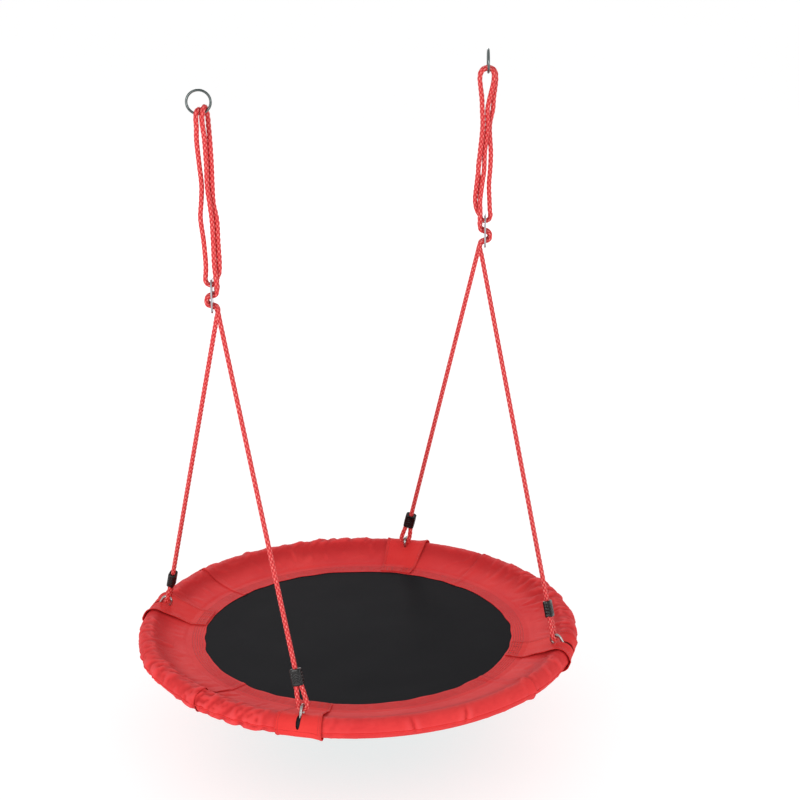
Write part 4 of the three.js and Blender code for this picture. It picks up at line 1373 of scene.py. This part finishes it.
# ------------------------------------------------------------------ steel hardware
def make_eyes():
    """Arched eyes that lean inwards, with their feet on the tube."""
    for corner, azimuth in zip(CORNERS, EYE_AZIMUTHS):
        out = np.array([math.cos(azimuth), math.sin(azimuth), 0])
        vertical = np.array([0.0, 0.0, 1.0])
        lean = -math.sin(EYE["lean"]) * out + math.cos(EYE["lean"]) * vertical
        cross = math.cos(EYE["lean"]) * out + math.sin(EYE["lean"]) * vertical
        origin = RING_RADIUS * out + DISC_Z * vertical
        r, high = EYE["arch_radius"], EYE["arch_height"]
        foot = 6 * MM
        legs = np.linspace(foot, high, 14)[:-1]
        turn = np.linspace(0, math.pi, 33)
        flat = [(r, h) for h in legs] + [(r * math.cos(a), high + r * math.sin(a)) for a in turn]
        flat += [(-r, h) for h in legs[::-1]]
        path = np.array([origin + cross * x + lean * y for x, y in flat])
        made = swept(path, EYE["wire"], 24, f"rope_eye_{corner}", EYE_STEEL,
                     first=np.cross(cross, lean))
        stands_for(made, "seat", "eye_steel", f"welded_eye_{corner}")


def make_hook_rings():
    """Steel rings with a small bead at the weld. The right one hangs a quarter turn from the left."""
    for side, facing in (("left", ACROSS), ("right", ALONG)):
        centre = np.array(middle(f"hanger_ring_{side}"))
        turn = np.arange(120) * TAU / 120
        path = centre + HOOK_RADIUS * (
            np.cos(turn)[:, None] * facing + np.sin(turn)[:, None] * np.array([0, 0, 1.0]))
        from_weld = np.abs(around(turn - math.radians(200))) * HOOK_RADIUS
        weld = 0.35 * MM * np.exp(-((from_weld / (2.2 * MM)) ** 2))
        radius = HOOK_WIRE / 2 - 0.02 * MM + weld
        made = swept(path, radius, 24, f"hook_ring_{side}", RING_STEEL, loop=True,
                     first=np.cross(facing, [0, 0, 1.0]))
        stands_for(made, "hanger_rings", "ring_steel", f"hanger_ring_{side}")


def rounded_outline(width, height, corner, steps=10):
    """Points round a rectangle with round corners."""
    made = []
    for cx, cy, start in ((1, 1, 0), (-1, 1, 90), (-1, -1, 180), (1, -1, 270)):
        for a in np.radians(np.linspace(start, start + 90, steps)):
            made.append((cx * (width / 2 - corner) + corner * math.cos(a),
                         cy * (height / 2 - corner) + corner * math.sin(a)))
    return made


def make_plates():
    """Polished plates with three slots. The outlines are filled, thickened and rounded."""
    width, length, corner, slot_width, slot_height = (v * MM for v in (46, 82, 14, 28, 14))
    bevel = 0.9 * MM
    for side in SIDES:
        curve = bpy.data.curves.new("plate", "CURVE")
        curve.dimensions = "2D"
        curve.fill_mode = "BOTH"
        curve.extrude = PLATE_THICKNESS / 2 - bevel
        curve.bevel_depth = bevel
        curve.bevel_resolution = 4
        outlines = [rounded_outline(width - 2 * bevel, length - 2 * bevel, corner - bevel, 16)]
        for row in (-1, 0, 1):
            hole = rounded_outline(slot_width + 2 * bevel, slot_height + 2 * bevel,
                                   slot_height / 2 + bevel, 12)
            outlines.append([(x, y + row * PLATE_PITCH) for x, y in hole])
        for outline in outlines:
            spline = curve.splines.new("POLY")
            spline.points.add(len(outline) - 1)
            for point, (x, y) in zip(spline.points, outline):
                point.co = (x, y, 0, 1)
            spline.use_cyclic_u = True
        drawn = bpy.data.objects.new("plate", curve)
        mesh = bpy.data.meshes.new_from_object(drawn)
        bpy.data.objects.remove(drawn)
        points = np.array([v.co for v in mesh.vertices])
        faces = [list(p.vertices) for p in mesh.polygons]
        key = np.round(points / (0.01 * MM)).astype(int)
        _, first, same = np.unique(key, axis=0, return_index=True, return_inverse=True)
        same = same.ravel()
        faces = [list(dict.fromkeys(int(same[v]) for v in f)) for f in faces]
        faces = [f for f in faces if len(f) > 2]
        centre = np.array(middle(f"adjuster_plate_{side}"))
        local = points[first]
        placed_points = centre + local[:, :1] * -ALONG + local[:, 1:2] * np.array([0, 0, 1.0])
        placed_points = placed_points + local[:, 2:3] * -ACROSS
        uv = [(local[v][0], local[v][1]) for f in faces for v in f]
        made = new_mesh(f"adjuster_{side}", placed_points, faces, CHROME, uv)
        made.data.set_sharp_from_angle(angle=math.radians(40))
        stands_for(made, f"adjuster_{side}", "adjuster_steel", f"adjuster_plate_{side}")


# ------------------------------------------------------------------ rope clamps
CLAMP_EDGE = 3.2 * MM           # radius of the rounded rims
CLAMP_COLUMNS, CLAMP_ROWS = 128, 72
SQUARENESS = 4.2


def clamp_rows():
    """Rows up a clamp: height, share of the full width, and place. The place runs from -1 to 1 up
    the straight wall and is beyond that on the rims and the ends."""
    half = CLAMP["height"] / 2
    straight = half - CLAMP_EDGE
    wall = [(t * straight, 1.0, t) for t in np.linspace(-1, 1, CLAMP_ROWS)]
    rim = [
        (straight + CLAMP_EDGE * math.sin(a), 1 - CLAMP_EDGE * (1 - math.cos(a)) / (CLAMP["width"] / 2))
        for a in np.linspace(0, math.pi / 2, 8)[1:]
    ]
    rim += [(half, rim[-1][1] * share) for share in (0.86, 0.72, 0.56, 0.4, 0.2)]
    return [(-z, share, -2.0) for z, share in rim[::-1]] + wall + [(z, share, 2.0) for z, share in rim]


def clamp_skin():
    """Points of the clamp about its middle: ribs on the narrow sides, a sunk zigzag panel on the
    wide ones, a parting groove, and a socket for each rope that goes in."""
    angle = np.arange(CLAMP_COLUMNS) * TAU / CLAMP_COLUMNS
    c, s = np.cos(angle), np.sin(angle)
    reach = (np.abs(c) ** SQUARENESS + np.abs(s) ** SQUARENESS) ** (-1 / SQUARENESS)
    skin = []
    for height, scale, t in clamp_rows():
        x = c * reach * CLAMP["width"] / 2 * scale
        y = s * reach * CLAMP["depth"] / 2 * scale
        z = np.full_like(x, height)
        if t < -1:
            for rope_x in (-6.4 * MM, 6.4 * MM):
                z = z + 2.2 * MM * smoothstep(9 * MM - np.hypot(x - rope_x, y), 0, 3 * MM)
        elif t > 1:
            z = z - 2.6 * MM * smoothstep(8.6 * MM - np.hypot(x, y), 0, 3 * MM)
        else:
            panel = (np.abs(s * reach) > 0.93) & (np.abs(x) < 9.5 * MM) & (abs(t) < 0.8)
            zigzag = np.abs(((z / (6.5 * MM) + np.abs(x) / (9 * MM)) % 1) - 0.5) * 2
            relief = np.where(panel, -0.9 * MM + 0.9 * MM * smoothstep(zigzag, 0.45, 0.8), 0)
            ribs = 0.5 * MM * math.cos(t * 4.5 * math.pi) * (abs(t) < 0.78)
            relief = relief + np.where(np.abs(c * reach) > 0.9, ribs, 0)
            groove = -0.35 * MM * np.exp(-((y / (0.35 * MM)) ** 2))
            grow = 1 + (relief + groove) / np.hypot(x, y)
            x, y = x * grow, y * grow
        skin.append(np.stack([x, y, z], axis=1))
    return np.array(skin)


def make_clamps():
    skin = clamp_skin()
    ids = np.arange(skin.shape[0] * CLAMP_COLUMNS).reshape(skin.shape[:2])
    faces = grid_faces(closed(ids, around=True))[:, ::-1].tolist()
    faces += fan(ids.size, ids[0, ::-1]) + fan(ids.size + 1, ids[-1])
    caps = [[0, 0, skin[0, :, 2].mean()], [0, 0, skin[-1, :, 2].mean()]]
    points = np.concatenate([skin.reshape(-1, 3), caps])
    for side in SIDES:
        for end, f in CLAMP_FRAMES[side].items():
            centre = f["apex"] + f["up"] * CLAMP["above"]
            axes = np.array([f["sideways"], -f["normal"], f["up"]])
            made = new_mesh(f"clamp_{end}_{side}", centre + points @ axes, faces, NYLON)
            stands_for(made, f"clamps_{side}", "clamp_plastic", f"rope_clamp_{end}_{side}")


# ------------------------------------------------------------------ floor and light
FLOOR_DROP = 240 * MM           # the disc itself comes down by up to 200 mm as it swings and is let out


def make_stage():
    floor_z = DISC_Z - PAD_RADIUS - FLOOR_DROP
    size = 60
    corners = [(-size, -size), (size, -size), (size, size), (-size, size)]
    f = Finish("floor", Roughness=0.95, Specular_IOR_Level=0.05, Emission_Strength=1.0)
    f.shader.inputs["Emission Color"].default_value = (0.60, 0.71, 0.71, 1.0)
    f.set(Base_Color=f.mix(f.noise(0.6, 2.0), (0.55, 0.39, 0.39, 1), (0.57, 0.41, 0.41, 1)))
    points = [(x, y, floor_z) for x, y in corners]
    floor = new_mesh("floor", points, [[0, 1, 2, 3]], f.material, smooth=False)
    world = bpy.data.worlds.new("studio")
    world.use_nodes = True
    background = world.node_tree.nodes["Background"]
    background.inputs["Color"].default_value = (1.0, 1.0, 1.0, 1.0)
    background.inputs["Strength"].default_value = 0.71
    bpy.context.scene.world = world
    lamps = (
        ("key", (-5.4, -2.7, 0.1), 1.5, 104, (1.0, 0.99, 0.98)),
        ("front", (1.6, -6.0, -0.2), 1.8, 56, (1.0, 1.0, 1.0)),
        ("back", (2.4, 5.2, 0.5), 1.8, 62, (0.96, 0.97, 1.0)),
    )
    aim = Vector((0, 0, DISC_Z + 0.3))
    for name, place, size, power, colour in lamps:
        data = bpy.data.lights.new(name, "AREA")
        data.shape = "DISK"
        data.size = size
        data.energy = power
        data.color = colour
        lamp = bpy.data.objects.new(name, data)
        lamp.location = place
        lamp.rotation_euler = (aim - Vector(place)).to_track_quat("-Z", "Y").to_euler()
        bpy.context.scene.collection.objects.link(lamp)
    bpy.context.scene.view_settings.view_transform = "Standard"


make_mat()
make_disc_frame()
make_cover()
make_cuffs()
make_stitching()
make_welt()
make_eyes()
make_hook_rings()
make_plates()
make_clamps()
make_stage()
